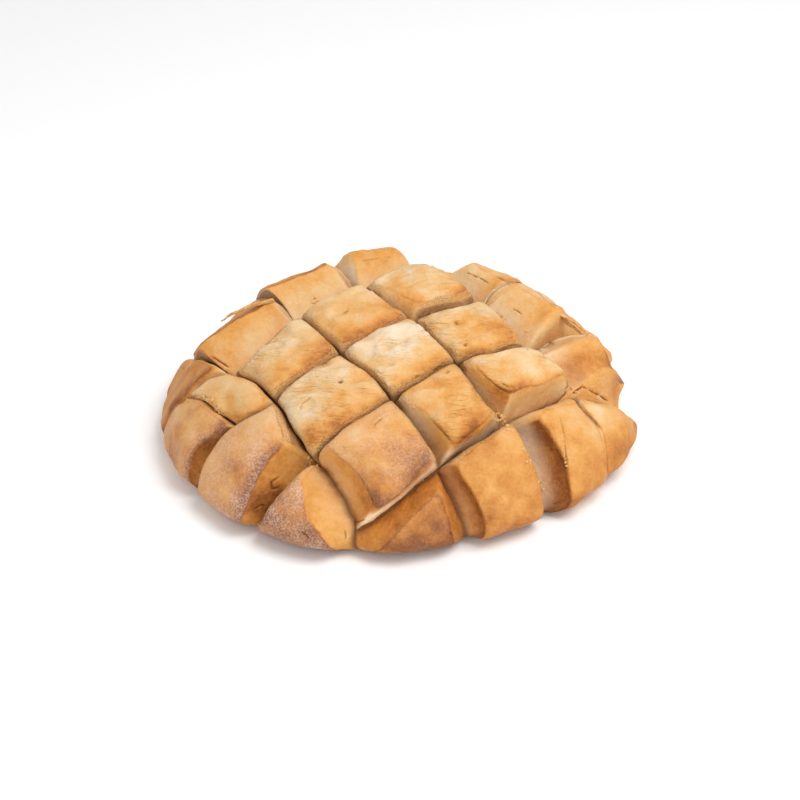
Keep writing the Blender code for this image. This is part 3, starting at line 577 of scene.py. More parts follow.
def divided_cut(name):
    """A cut's flat points, with the index of each crossing among them."""
    met = crossings(name)
    axis = 1 if name in FRONT_CUTS else 0
    points, places = [met[0][1]], {(met[0][0], 0): 0}
    for (_, start), (other, end) in zip(met[:-1], met[1:]):
        count = max(1, round(np.hypot(*(end - start)) / GROOVE_STEP))
        along = np.linspace(start[axis], end[axis], count + 1)[1:-1]
        points.extend(cut_line(name, along))
        places[(other, 1 if other is None else 0)] = len(points)
        points.append(end)
    return np.array(points), places


def groove_depth(ab, name):
    """How deep a cut goes at its flat points."""
    depth = ease(np.hypot(ab[:, 0], ab[:, 1]), GROOVE_DEPTH)
    if name in CREASES:
        depth = depth * ease(ab[:, 0 if name in SIDE_CUTS else 1], CREASES[name])
    return depth


class Grid:
    """All the cuts' points and the rim's, shared by the blocks on both sides."""

    def __init__(self):
        self.cuts = {name: divided_cut(name) for name in [*FRONT_CUTS, *SIDE_CUTS]}
        ends = [points[k] for points, places in self.cuts.values()
                for (other, _), k in places.items() if other is None]
        angles = np.sort([angle_of(end) for end in ends])
        parts = []
        for start, end in zip(angles, np.append(angles[1:], angles[0] + FULL_TURN)):
            count = max(2, round((end - start) * RIM / GROOVE_STEP))
            parts.append(np.linspace(start, end, count + 1)[:-1])
        self.rim = np.concatenate(parts)

    def side(self, name, start_cut, end_cut, direction):
        """Flat points of a cut between two others, which may be the rim."""
        points, places = self.cuts[name]
        start = places[(start_cut, 0)]
        end = places[(end_cut, 1 if end_cut is None else 0)]
        return points[start : end + 1][::direction]

    def arc(self, start, end):
        """Flat points of the rim, anticlockwise from one point to another."""
        low, high = angle_of(start), angle_of(end)
        high += FULL_TURN if high < low else 0
        angles = np.concatenate([self.rim, self.rim + FULL_TURN])
        inside = angles[(angles > low + 1e-6) & (angles < high - 1e-6)]
        return np.concatenate([[start], on_rim(inside), [end]])


def block_sides(grid, block):
    """A block's sides anticlockwise, the rim among them where no cut closes it."""
    back, front, left, right = block["cuts"]
    plan = (("left", left, back, front, 1), ("front", front, left, right, 1),
            ("right", right, back, front, -1), ("back", back, left, right, -1))
    sides = []
    for name, cut, low, high, direction in plan:
        if cut is None:
            continue
        points = grid.side(cut, low, high, direction)
        widths = np.array(block.get(name, (NARROW_WALL, NARROW_WALL)), float)[::direction]
        width = spread_evenly(np.linspace(0, 1, len(points)), widths)
        width = width * (CLOSED + (1 - CLOSED) * step(width, *CLOSED_WIDTHS))
        hollow = np.full(len(points), block.get("hollows", {}).get(name, 0.0))
        sides.append(Side(name, points, width, groove_depth(points, cut), hollow))
    closed = []
    for side, following in zip(sides, sides[1:] + sides[:1]):
        closed.append(side)
        start, end = side.points[-1], following.points[0]
        if np.hypot(*(start - end)) > 1e-6:
            arc = grid.arc(start, end)
            flat_values = (np.full(len(arc), value) for value in (RIM_WALL, GROOVE_DEPTH[-1][1], 0.0))
            closed.append(Side("rim", arc, *flat_values))
    return closed


def boundary(sides, what):
    """The sides' points or values, at each boundary point of a block in order."""
    return np.concatenate([getattr(side, what)[:-1] for side in sides])


def round_corners(sides, what):
    """The sides' values at each boundary point, passing smoothly round the corners."""
    ground = boundary(sides, "points")
    weight = bell(np.linalg.norm(ground[:, None] - ground[None], axis=2), CORNER_ROUNDING)
    return weight @ boundary(sides, what) / weight.sum(1)


def inset_corner(before, after, width_before, width_after):
    """The flat point at both wall widths from two sides that meet in a corner."""
    normals = [np.array([-d[1], d[0]]) / np.hypot(*d) for d in (before, after)]
    return np.linalg.solve(np.array(normals), [width_before, width_after])


def rounded(loop, reach):
    """A closed line with its corners rounded by averaging over a reach along it."""
    length = np.hypot(*(np.roll(loop, -1, 0) - loop).T).sum()
    spread = max(1, int(round(len(loop) * reach / length)))
    for _ in range(3):
        total = sum(np.roll(loop, k, 0) for k in range(-spread, spread + 1))
        loop = total / (2 * spread + 1)
    return loop


def crust_edge(sides):
    """The crust's edge facing each boundary point of a block, and a fine copy of the edge per side."""
    corners = []
    for last, side in zip(sides[-1:] + sides[:-1], sides):
        corners.append(side.points[0] + inset_corner(last.points[-1] - last.points[-2],
                                                     side.points[1] - side.points[0],
                                                     last.width[-1], side.width[0]))
    t = np.linspace(0, 1, EDGE_STEPS, endpoint=False)
    parts = []
    for side, start, end in zip(sides, corners, corners[1:] + corners[:1]):
        share = np.linspace(0, 1, len(side.points))
        chord = side.points[0] + (side.points[-1] - side.points[0]) * share[:, None]
        bend = interpolated(t, share, side.points - chord)
        along = (end - start) / np.hypot(*(end - start))
        inward = np.array([-along[1], along[0]])
        taper = np.interp(t, share, side.width) - (side.width[0] + (side.width[-1] - side.width[0]) * t)
        bow = taper - SIDE_BOW * np.sin(math.pi * t)
        parts.append(start + (end - start) * t[:, None] + bend + inward * bow[:, None])
    loop = rounded(np.concatenate(parts), CORNER_ROUNDING / 2)
    loop = loop * np.minimum(1, (RIM - RIM_WALL) / np.hypot(*loop.T)[:, None])
    closed = np.concatenate([loop, loop[:1]])
    places = [k + np.linspace(0, 1, len(side.points))[:-1] for k, side in enumerate(sides)]
    facing = interpolated(EDGE_STEPS * np.concatenate(places), np.arange(len(closed)), closed)
    return facing, np.split(loop, len(sides))


def nearest(points, line):
    """Distance from each flat point to the nearest point of a line."""
    gaps = points[:, None, :] - line[None, :, :]
    return np.sqrt((gaps**2).sum(-1).min(1))


def soft_nearest(points, edges):
    """A smooth stand-in for the distance to the nearest of a block's edges."""
    gaps = np.array([nearest(points, edge) for edge in edges])
    return (np.maximum(gaps, 0.05) ** -3.0).sum(0) ** (-1 / 3)


def crust_lift(ab, block, sides, edges):
    """How far a block's crust stands above the dome: its lift, its waves and its raised lips."""
    lift = np.full(len(ab), float(block.get("lift", 0)))
    for height, along_a, along_b, phase in WAVES:
        lift += height * np.sin(FULL_TURN * (along_a * ab[:, 0] + along_b * ab[:, 1]) + phase)
    for name, heights in block.get("lips", {}).items():
        edge = edges[[side.name for side in sides].index(name)]
        heights = heights if name in ("left", "front") else heights[::-1]
        gap = np.linalg.norm(ab[:, None] - edge[None], axis=2)
        height = spread_evenly(np.linspace(0, 1, len(edge)), heights)[gap.argmin(1)]
        lift += height * bell(gap.min(1), LIP_REACH)
    return lift


def wall_section(width, depth, hollow, t):
    """Share of the way out from the cut, and depth under the crust, up a wall, t from 0 to 1."""
    open_share = step(width, NARROW_WALL + 1, WIDE_WALL)
    foot = 0.10 + (0.26 + 0.26 * hollow) * open_share
    foot_depth = depth * (0.30 + (0.34 + 0.28 * hollow) * open_share)
    shoulder = 0.2 + (1 - SHARP_EDGE / np.maximum(width, SHARP_EDGE) - 0.2) * open_share
    shoulder = shoulder + (0.96 - shoulder) * hollow
    shoulder_depth = depth * (0.45 * hollow * open_share + 0.09 * (1 - open_share))
    b1, b2, b3 = 3 * (1 - t) ** 2 * t, 3 * (1 - t) * t**2, t**3
    return b1 * foot + b2 * shoulder + b3, (1 - t) ** 3 * depth + b1 * foot_depth + b2 * shoulder_depth


def wall_points(ground, edge, width, depth, hollow, lift, t):
    """Flat points up a block's walls at t and where they are in space, for its boundary and crust edge."""
    x, y = wall_section(width, depth, hollow, t)
    flat = ground + (edge - ground) * x[:, None]
    point, out = crust_frame(flat)
    return flat, point + out * (lift * (1 - y / depth) - y)[:, None]


def inside(points, loop):
    """Which flat points lie inside a closed loop."""
    x, y = points[:, 0, None], points[:, 1, None]
    x0, y0 = loop.T
    x1, y1 = np.roll(loop, -1, 0).T
    crosses = (y0 > y) != (y1 > y)
    with np.errstate(divide="ignore", invalid="ignore"):
        hit = x < (x1 - x0) * (y - y0) / (y1 - y0) + x0
    return (crosses & hit).sum(1) % 2 == 1


def lattice(loop, spacing):
    """Flat points of a triangular lattice inside a loop, clear of it."""
    low, high = loop.min(0), loop.max(0)
    rows = np.arange(low[1], high[1], spacing * math.sqrt(0.75))
    points = [(x + (k % 2) * spacing / 2, y) for k, y in enumerate(rows)
              for x in np.arange(low[0], high[0], spacing)]
    points = np.array(points)
    points = points[inside(points, loop)]
    return points[nearest(points, loop) > 0.55 * spacing]


def filled(loop, points):
    """Triangles over a closed loop and the points inside it."""
    vertices = [tuple(p) for p in np.concatenate([loop, points])]
    ring = [(k, (k + 1) % len(loop)) for k in range(len(loop))]
    _, _, faces, origins, _, _ = delaunay_2d_cdt(vertices, ring, [], 1, 1e-9)
    return [tuple(origins[v][0] for v in face) for face in faces]


def flat_keys(points):
    """Flat points as keys, by which the blocks on both sides of a cut find the same vertices."""
    return [tuple(row) for row in np.round(points, 4)]


def vertex_values(flat, up, inward, width, number, facing):
    """A row for each vertex: a, b, distance up the cut wall from its floor, distance inward from the
    crust's edge (below zero on a wall), the wall's width, the block's number, and how far the nearest wall
    is the front one and the left one."""
    columns = [np.broadcast_to(column, len(flat)) for column in (up, inward, width, number)]
    return np.column_stack([flat, *columns, facing])


class Mesh:
    """Vertices, with a row of values each, and faces under construction."""

    def __init__(self):
        self.points, self.values, self.faces, self.known = [], [], [], {}

    def add(self, points, values, keys=None):
        """Adds points and gives their numbers. A point whose key was added before keeps its number."""
        numbers = []
        for k, (point, row) in enumerate(zip(points, values)):
            key = keys[k] if keys else len(self.points)
            if key not in self.known:
                self.known[key] = len(self.points)
                self.points.append(point)
                self.values.append(row)
            numbers.append(self.known[key])
        return numbers

    def strip(self, lower, upper):
        """Triangles between two closed rings of the same count."""
        for k in range(len(lower)):
            n = (k + 1) % len(lower)
            self.faces += [(lower[k], lower[n], upper[n]), (lower[k], upper[n], upper[k])]


def add_block(mesh, grid, name, number):
    """A block's walls, ring by ring up from the bottoms of its cuts, and its top."""
    block = BLOCKS[name]
    coarse = FAR_SHARE if name in FAR_BLOCKS else 1
    sides = block_sides(grid, block)
    ground, depth = boundary(sides, "points"), boundary(sides, "depth")
    width, hollow = round_corners(sides, "width"), round_corners(sides, "hollow")
    edge, edges = crust_edge(sides)
    lift = crust_lift(edge, block, sides, edges)
    facing = np.concatenate([np.tile((float(side.name == "front"), float(side.name == "left")),
                                     (len(side.points) - 1, 1)) for side in sides])
    reach = math.hypot(np.percentile(width, 90), depth.max())
    rings = max(FEWEST_RINGS, int(round(reach / (RING_STEP * coarse))))
    flats, levels = zip(*[wall_points(ground, edge, width, depth, hollow, lift, t)
                          for t in np.linspace(0, 1, rings + 1)])
    levels[0][np.hypot(*ground.T) > RIM - 1e-3, 2] = RIM_LIFT
    rise = np.concatenate([np.zeros((1, len(ground))),
                           np.linalg.norm(np.diff(levels, axis=0), axis=2).cumsum(0)])
    lower = None
    for flat, level, up in zip(flats, levels, rise):
        values = vertex_values(flat, up, up - rise[-1], width, number, facing)
        upper = mesh.add(level, values, None if lower else flat_keys(ground))
        if lower:
            mesh.strip(lower, upper)
        lower = upper
    points = lattice(edge, CRUST_STEP * coarse)
    inward = soft_nearest(points, edges)
    crown = block.get("crown", CROWN) * (1 - (1 - np.minimum(inward / CROWN_REACH, 1)) ** 3)
    top, out = crust_frame(points)
    top = top + out * (crust_lift(points, block, sides, edges) + crown)[:, None]
    share = np.linalg.norm(points[:, None] - edge[None], axis=2) ** -4.0
    near = share @ np.column_stack([width, facing]) / share.sum(1)[:, None]
    values = vertex_values(points, TOP_VALUE, inward, near[:, 0], number, near[:, 1:])
    numbers = lower + mesh.add(top, values)
    mesh.faces.extend(tuple(numbers[v] for v in face) for face in filled(edge, points))


def add_base(mesh, grid):
    """The underside: the slight rise from the sole to the rim, and the sole's rings."""
    outer = [mesh.known[key] for key in flat_keys(on_rim(grid.rim))]
    ring = np.array([mesh.points[k] for k in outer]) * (1, 1, 0)
    ring = ring / np.linalg.norm(ring, axis=1)[:, None]
    nothing = np.zeros((len(ring), 2))
    values = vertex_values(nothing, 0.0, SOLE_VALUE, 0.0, -1, nothing)
    for radius in SOLE_RINGS:
        inner = mesh.add(ring * radius, values)
        for k in range(len(outer)):
            n = (k + 1) % len(outer)
            mesh.faces += [(outer[k], inner[n], outer[n]), (outer[k], inner[k], inner[n])]
        outer = inner
    middle, = mesh.add(np.zeros((1, 3)), values[:1])
    mesh.faces += [(outer[k], middle, outer[(k + 1) % len(outer)]) for k in range(len(outer))]


def loaf_surface():
    """The loaf's fine mesh without its relief: points, values and triangles."""
    grid = Grid()
    mesh = Mesh()
    for number, name in enumerate(BLOCKS):
        add_block(mesh, grid, name, number)
    add_base(mesh, grid)
    return np.array(mesh.points), np.array(mesh.values), np.array(mesh.faces)


def lattice_noise(points, seed):
    """Smooth noise from -1 to 1 at points in space, one wave to a unit."""
    cell = np.floor(points).astype(np.int64)
    part = points - cell
    fade = part * part * (3 - 2 * part)
    total = np.zeros(len(points))
    for corner in range(8):
        offset = np.array([(corner >> k) & 1 for k in range(3)])
        number = ((cell + offset) * SCATTER).sum(1) + seed * SCATTER_SEED
        number = (number ^ (number >> 13)) * SCATTER_AGAIN
        number = (number ^ (number >> 16)) & 0xFFFFFF
        total += np.prod(np.where(offset, fade, 1 - fade), 1) * (number / 0x7FFFFF - 1)
    return total


def cloud(points, amount, size, seed, layers):
    """Layered noise, about -amount to amount, each layer half as strong and as large as the last."""
    shares = 0.5 ** np.arange(layers)
    total = sum(share * lattice_noise(points / (size * share), seed + 11 * k)
                for k, share in enumerate(shares))
    return amount * (NOISE_GAIN * total / shares.sum())


def vertex_normals(points, faces):
    """Directions out of the surface at its points."""
    corners = points[faces]
    cross = np.cross(corners[:, 1] - corners[:, 0], corners[:, 2] - corners[:, 0])
    normals = np.zeros_like(points)
    for k in range(3):
        np.add.at(normals, faces[:, k], cross)
    return normals / np.maximum(np.linalg.norm(normals, axis=1), 1e-12)[:, None]


def camera_axes():
    """The camera's place and its forward, right and up directions, on the flat grid's frame."""
    aim_direction = np.array([0, math.cos(CAMERA_ELEVATION), -math.sin(CAMERA_ELEVATION)])
    place = AIM - aim_direction * CAMERA_DISTANCE
    pitch = math.atan((PICTURE / 2 - AIM_PIXEL[1]) / FOCAL)
    yaw = math.atan((PICTURE / 2 - AIM_PIXEL[0]) / FOCAL)
    down = CAMERA_ELEVATION + pitch
    forward = np.array([math.sin(yaw), math.cos(down) * math.cos(yaw), -math.sin(down)])
    right = np.cross(forward, (0, 0, 1))
    right /= np.linalg.norm(right)
    return place, forward, right, np.cross(right, forward)


def on_surface(tree, pixels):
    """Points of the loaf that show at places in the picture."""
    place, forward, right, up = camera_axes()
    found = []
    for x, y in pixels:
        ray = forward + right * (x - PICTURE / 2) / FOCAL - up * (y - PICTURE / 2) / FOCAL
        hit = tree.ray_cast(Vector(place), Vector(ray))[0]
        if hit is not None:
            found.append(np.array(hit))
    return np.array(found).reshape(-1, 3)


def placed(tree, rows):
    """Rows that start with a place in the picture, with the loaf's point there in its stead."""
    return [(point, *rest) for x, y, *rest in rows for point in on_surface(tree, [(x, y)])]


def distance_to_line(points, line):
    """Distance from each point to a line through several points, and how far along it that nearest is."""
    best = np.full(len(points), np.inf)
    along = np.zeros(len(points))
    done = 0.0
    for start, end in zip(line[:-1], line[1:]):
        run = end - start
        length = np.linalg.norm(run)
        share = np.clip((points - start) @ run / max(length, 1e-9) ** 2, 0, 1)
        gap = np.linalg.norm(points - start - share[:, None] * run, axis=1)
        nearer = gap < best
        best[nearer] = gap[nearer]
        along[nearer] = done + share[nearer] * length
        done += length
    return best, along


def close_to(points, line, reach):
    """Which points lie in a box that passes a line by a reach on every side."""
    return (points > line.min(0) - reach).all(1) & (points < line.max(0) + reach).all(1)


def wanted_size(points, pits, cracks):
    """How long the mesh's sides may be at points, so that the pits and cracks come out."""
    size = np.full(len(points), COARSEST)
    for place, radius, _ in pits:
        low, growth, start = PIT_MESH
        gap = np.linalg.norm(points - place, axis=1)
        size = np.minimum(size, low + growth * np.maximum(gap - start * radius, 0))
    for line, half_width, _, _ in cracks:
        low, growth, start = CRACK_MESH
        near = close_to(points, line, 3)
        gap = distance_to_line(points[near], line)[0]
        size[near] = np.minimum(size[near], low + growth * np.maximum(gap - start * half_width, 0))
    return size


def refined(points, values, faces, pits, cracks):
    """Splits the sides that are longer than wanted at their middles, a few times over."""
    for _ in range(REFINE_PASSES):
        edges = np.sort(np.concatenate([faces[:, [0, 1]], faces[:, [1, 2]], faces[:, [2, 0]]]), axis=1)
        edges, index = np.unique(edges, axis=0, return_inverse=True)
        index = index.reshape(3, -1).T
        length = np.linalg.norm(points[edges[:, 0]] - points[edges[:, 1]], axis=1)
        middle = (points[edges[:, 0]] + points[edges[:, 1]]) / 2
        split = length > wanted_size(middle, pits, cracks)
        number = np.full(len(edges), -1)
        number[split] = len(points) + np.arange(split.sum())
        points = np.concatenate([points, middle[split]])
        values = np.concatenate([values, (values[edges[split, 0]] + values[edges[split, 1]]) / 2])
        count = split[index].sum(1)
        made = []
        for turn in range(3):
            order = (turn + np.arange(3)) % 3
            corners = np.concatenate([faces[:, order], number[index[:, order]]], axis=1)
            first, _, last = split[index[:, order]].T
            chosen = {0: turn == 0, 1: first, 2: ~last, 3: turn == 0}
            for halved, triangles in DIVISIONS.items():
                picked = corners[(count == halved) & chosen[halved]]
                made += [picked[:, triangle] for triangle in triangles]
        faces = np.concatenate(made)
    return points, values, faces


def linear(red, green, blue):
    """A colour read in 8-bit steps, as the shader takes it."""
    out = []
    for value in (red, green, blue):
        share = value / 255
        out.append(share / 12.92 if share <= 0.04045 else ((share + 0.055) / 1.055) ** 2.4)
    return (*out, 1.0)


def skin_of(number):
    """How baked, how floury, how turned and how folded the skin is, for block numbers. The sole is -1."""
    return np.array([SKIN.get(name, OTHER_SKIN) for name in BLOCKS] + [SOLE_SKIN])[number].T


def fold_heights(points, number):
    """Stretched, creased noise as thin dried skin folds, as strong as each block's are."""
    _, _, turn, strength = skin_of(number)
    turn = np.radians(turn)
    level = points[:, 0]
    rise = points[:, 1] * math.sin(CAMERA_ELEVATION) + points[:, 2] * math.cos(CAMERA_ELEVATION)
    along = level * np.cos(turn) + rise * np.sin(turn)
    across = rise * np.cos(turn) - level * np.sin(turn) + cloud(points, *FOLD_DRIFT)

    def waves(length, apart, seed):
        return lattice_noise(np.stack([along / length, across / apart, np.zeros(len(along))], -1), seed)

    broad = waves(*BROAD_FOLDS, 41)
    sharp = 1 - 2 * np.abs(waves(*SHARP_FOLDS, 43))
    patch = 0.55 + 0.45 * step(cloud(points, *FOLD_PATCHES), -0.5, 0.5)
    return (BROAD_SHARE * broad + (1 - BROAD_SHARE) * sharp) * patch * strength


def relief(points, values, pits, cracks):
    """How far each point moves along its normal for the small forms, and how much painted shade darkens it
    in the pits and cracks.
    """
    up, inward, width, number = values[:, 2:6].T
    crust = step(inward, -0.6, 0.6)
    move = (cloud(points, *SWELLS) + cloud(points, *DIMPLES)) * crust
    move += FOLD_HEIGHT * fold_heights(points, np.round(number).astype(int)) * step(inward, -0.5, 3.0)
    torn = 0.10 + 0.45 * step(up, 8.0, 0.5)
    move += (1 - crust) * (cloud(points, *WALL_SWELLS) + torn * cloud(points, *WALL_PORES))
    move += bell(inward + 0.2, 1.0) * step(width, 4.0, 9.0) * cloud(points, *LIP_RAGS)
    dark = np.zeros(len(points))
    for place, radius, depth in pits:
        gap = np.linalg.norm(points - place, axis=1)
        move -= depth * (bell(gap, radius) + 0.25 * bell(gap, 3.2 * radius))
        # Painted shade in the pit.
        dark = np.maximum(dark, 0.9 * bell(gap, 0.75 * radius) * min(1, depth / 1.5))
    for line, half_width, depth, rim in cracks:
        near = close_to(points, line, 4)
        gap, along = distance_to_line(points[near], line)
        total = np.linalg.norm(np.diff(line, axis=0), axis=1).sum()
        fade = step(along, -0.3, 1.8) * step(total - along, -0.3, 1.8)
        ragged = 0.7 + 0.5 * lattice_noise(points[near] / 1.7, 83)
        cut = bell(gap, 0.6 * half_width * ragged) * fade
        move[near] += rim * bell(gap - 2.2 * half_width, 1.6 * half_width) * fade - depth * cut
        # Painted shade in the crack.
        dark[near] = np.maximum(dark[near], 0.8 * cut * min(1, depth))
    move[number < -0.5] = 0
    move *= step(points[:, 2], 0.0, 2.0)
    return move, np.clip(dark, 0, 1)


def wall_tones(number, facing):
    """How baked a wall is at the crust and at the foot, with the painted light and shade set into some
    blocks' walls, and how pale its foot is, for block numbers and for how far each point's wall is another
    one, the front one and the left one."""
    table = []
    for name in BLOCKS:
        own = OWN_WALLS.get(name, {})
        other = own.get("right", own.get("back", WALL_TONES["other"]))
        table.append([other, own.get("front", WALL_TONES["front"]), own.get("left", WALL_TONES["left"])])
    table.append([SOLE_TONES] * 3)
    return (np.array(table)[number] * facing[:, :, None]).sum(1).T


def of_blocks(number, names):
    """Which points belong to the named blocks."""
    return np.isin(number, [list(BLOCKS).index(name) for name in names])


def colours(points, values, tone_and_shade_patches):
    """How baked each point is, with painted light and shade added, how floury, how darkened by painted
    shade, how pale and how folded, and how narrow its wall, from 0 to 1, and how far inward of the crust's
    edge it lies."""
    a, b, up, inward, width, number, front_side, left_side = values.T
    number = np.round(number).astype(int)
    bake_and_shade, flour, _, folded = skin_of(number)
    spans = [a[(number == k) & (inward > 0)] for k in range(len(BLOCKS))]
    middle, spread = np.array([(span.mean(), span.std()) for span in spans] + [(0, 1)])[number].T
    front = np.clip((a - middle) / (1.9 * spread), -1.1, 1.1)
    patches = cloud(points, *BAKE_PATCHES)
    # Each top grows browner toward its front, partly as painted shade on the side turned from the light,
    # with random patches and spots.
    bake_and_shade = bake_and_shade + 0.08 * front + 0.16 * patches + cloud(points, *BAKE_SPOTS)
    # Painted shade: the crust is darkened low on the loaf, where less light reaches it.
    bake_and_shade += LOW_PAINTED_SHADE * step(points[:, 2], *LOW_SHADE_HEIGHTS)
    # The front edges of the tops are browned, partly as baking and partly as painted shade where they roll
    # away from the light.
    near_front = np.clip(front_side + step(front, 0.5, 1.0), 0, 1)
    bake_and_shade += EDGE_BROWNING_AND_SHADE * bell(np.maximum(inward, 0), EDGE_REACH) * near_front * (0.75 + 0.6 * patches)
    # Painted light on the folds: their ridges are made paler and their hollows browner.
    bake_and_shade -= FOLD_PAINTED_LIGHT * fold_heights(points, number)

    below = np.maximum(-inward, 0)
    facing = np.stack([1 - front_side - left_side, front_side, left_side], -1)
    high, low, pale = wall_tones(number, facing)
    wide = step(width, 4.0, 10.0)
    # Painted shade: wide left walls grow browner toward their block's front end.
    wall = high + (low - high) * step(below, 0.5, 12.0) + 0.22 * left_side * step(front, 0.0, 1.0) * wide
    wall += cloud(points, *WALL_PATCHES) + cloud(points, *WALL_SPOTS)
    crust = wide * step(inward, -0.9, 0.3) + (1 - wide) * step(inward, -6.0, 2.0)
    bake_and_shade = crust * bake_and_shade + (1 - crust) * wall
    # Patches of browner or paler crust, partly uneven baking and partly painted shade.
    for place, reach, change in tone_and_shade_patches:
        gap = np.linalg.norm(points - place, axis=1)
        bake_and_shade += change * bell(gap, reach) * (0.7 + 0.5 * patches)
    foot = step(below, 0.3 * width, 1.1 * width + 0.1)
    # Painted shade: the left walls' feet are kept less pale toward their block's front end.
    pale = (1 - crust) * pale * foot * (1 - 0.6 * left_side * step(front, 0.2, 1.0))

    flour = flour * (0.55 + cloud(points, *FLOUR_PATCHES)) * crust
    folded = np.where(number < 0, 0, np.maximum(folded, LEAST_CREASED))
    folded = folded * crust * step(cloud(points, *CREASE_PATCHES), -0.7, 0.5)
    narrow = 1 - step(width, 4.5, 6.0)
    narrow[of_blocks(number, OPEN_BLOCKS)] = 0
    narrow[of_blocks(number, OPEN_FRONTS) & (front_side > 0.5)] = 0
    broken = 1 - step(a, *UNBROKEN_A) * step(b, *UNBROKEN_B)
    # Painted shade: the cut walls darken toward the floors of the cuts.
    dark = (1 - crust) * bell(np.maximum(up, 0), FLOOR_SHADE_REACH)
    # The bake attribute carries the painted shade low and at the front edges and the painted light of the
    # folds, and dark carries the painted shade of the cut floors.
    parts = {"bake_and_shade": bake_and_shade, "flour": flour, "dark": dark * broken, "pale": pale, "folded": folded,
             "narrow": narrow * broken}
    return {**{name: np.clip(part, 0, 1) for name, part in parts.items()}, "inward": inward}


class Shader:
    """A material's nodes, with short calls to add and join them."""

    def __init__(self, name):
        self.material = bpy.data.materials.new(name)
        self.material.use_nodes = True
        self.tree = self.material.node_tree

    def put(self, node, inputs):
        """Sets a node's inputs to numbers and colours, or joins them to other nodes' outputs."""
        for key, value in inputs.items():
            if isinstance(value, bpy.types.NodeSocket):
                self.tree.links.new(value, node.inputs[key])
            else:
                node.inputs[key].default_value = value

    def add(self, kind, inputs, **settings):
        node = self.tree.nodes.new(kind)
        for key, value in settings.items():
            setattr(node, key, value)
        self.put(node, inputs)
        return node

    def finished(self, inputs):
        """The material, with the inputs of its surface set."""
        self.put(self.tree.nodes["Principled BSDF"], inputs)
        return self.material

    def attribute(self, name):
        return self.add("ShaderNodeAttribute", {}, attribute_name=name).outputs["Fac"]

    def place(self):
        return self.add("ShaderNodeTexCoord", {}).outputs["Object"]

    def noise(self, size, detail=3.0, roughness=0.55):
        """Noise whose waves are about size millimetres."""
        inputs = {"Vector": self.place(), "Scale": 1 / (size * MM), "Detail": detail, "Roughness": roughness}
        return self.add("ShaderNodeTexNoise", inputs).outputs["Fac"]

    def stretched(self, length, gap):
        """Noise whose waves are long from left to right and short the other way, and wander."""
        where = self.place()
        drift = self.add("ShaderNodeTexNoise", {"Vector": where, "Scale": 1 / (18 * MM), "Detail": 1.0})
        inputs = {0: drift.outputs["Color"], 1: (4 * MM, 4 * MM, 0.0), 2: where}
        pushed = self.add("ShaderNodeVectorMath", inputs, operation="MULTIPLY_ADD")
        inputs = {"Vector": pushed.outputs[0], "Rotation": (math.pi / 2 - CAMERA_ELEVATION, 0, 0),
                  "Scale": (length * MM, gap * MM, length * MM)}
        scaled = self.add("ShaderNodeMapping", inputs, vector_type="TEXTURE")
        inputs = {"Vector": scaled.outputs[0], "Scale": 1.0, "Detail": 2.0, "Roughness": 0.5}
        return self.add("ShaderNodeTexNoise", inputs).outputs["Fac"]

    def math(self, operation, first, second=0.0, clamp=False):
        inputs = {0: first, 1: second}
        return self.add("ShaderNodeMath", inputs, operation=operation, use_clamp=clamp).outputs[0]

    def plus(self, *values):
        return reduce(partial(self.math, "ADD"), values)

    def times(self, *values):
        return reduce(partial(self.math, "MULTIPLY"), values)

    def less(self, first, second):
        return self.math("SUBTRACT", first, second)

    def away_from(self, value, middle):
        """How far a value is from a middle one, on either side."""
        return self.math("ABSOLUTE", self.less(value, middle))

    def between(self, value, low, high):
        """0 where a value is at low, 1 at high, and smooth between."""
        inputs = {"Value": value, "From Min": low, "From Max": high}
        return self.add("ShaderNodeMapRange", inputs, interpolation_type="SMOOTHSTEP").outputs["Result"]

    def mix(self, share, first, second):
        return self.add("ShaderNodeMix", {0: share, 6: first, 7: second}, data_type="RGBA").outputs[2]

    def ramp(self, value, stops):
        node = self.add("ShaderNodeValToRGB", {"Fac": value})
        elements = node.color_ramp.elements
        while len(elements) < len(stops):
            elements.new(0.5)
        for element, (place, colour) in zip(elements, stops):
            element.position = place
            element.color = linear(*colour)
        return node.outputs["Color"]

    def bumps(self, *layers):
        """The normal on bumps over bumps, each as its form from 0 to 1 and its height in millimetres."""
        below = {}
        for form, height in layers:
            inputs = {"Height": form, "Distance": height * MM, "Strength": 1.0, **below}
            below = {"Normal": self.add("ShaderNodeBump", inputs).outputs["Normal"]}
        return below["Normal"]


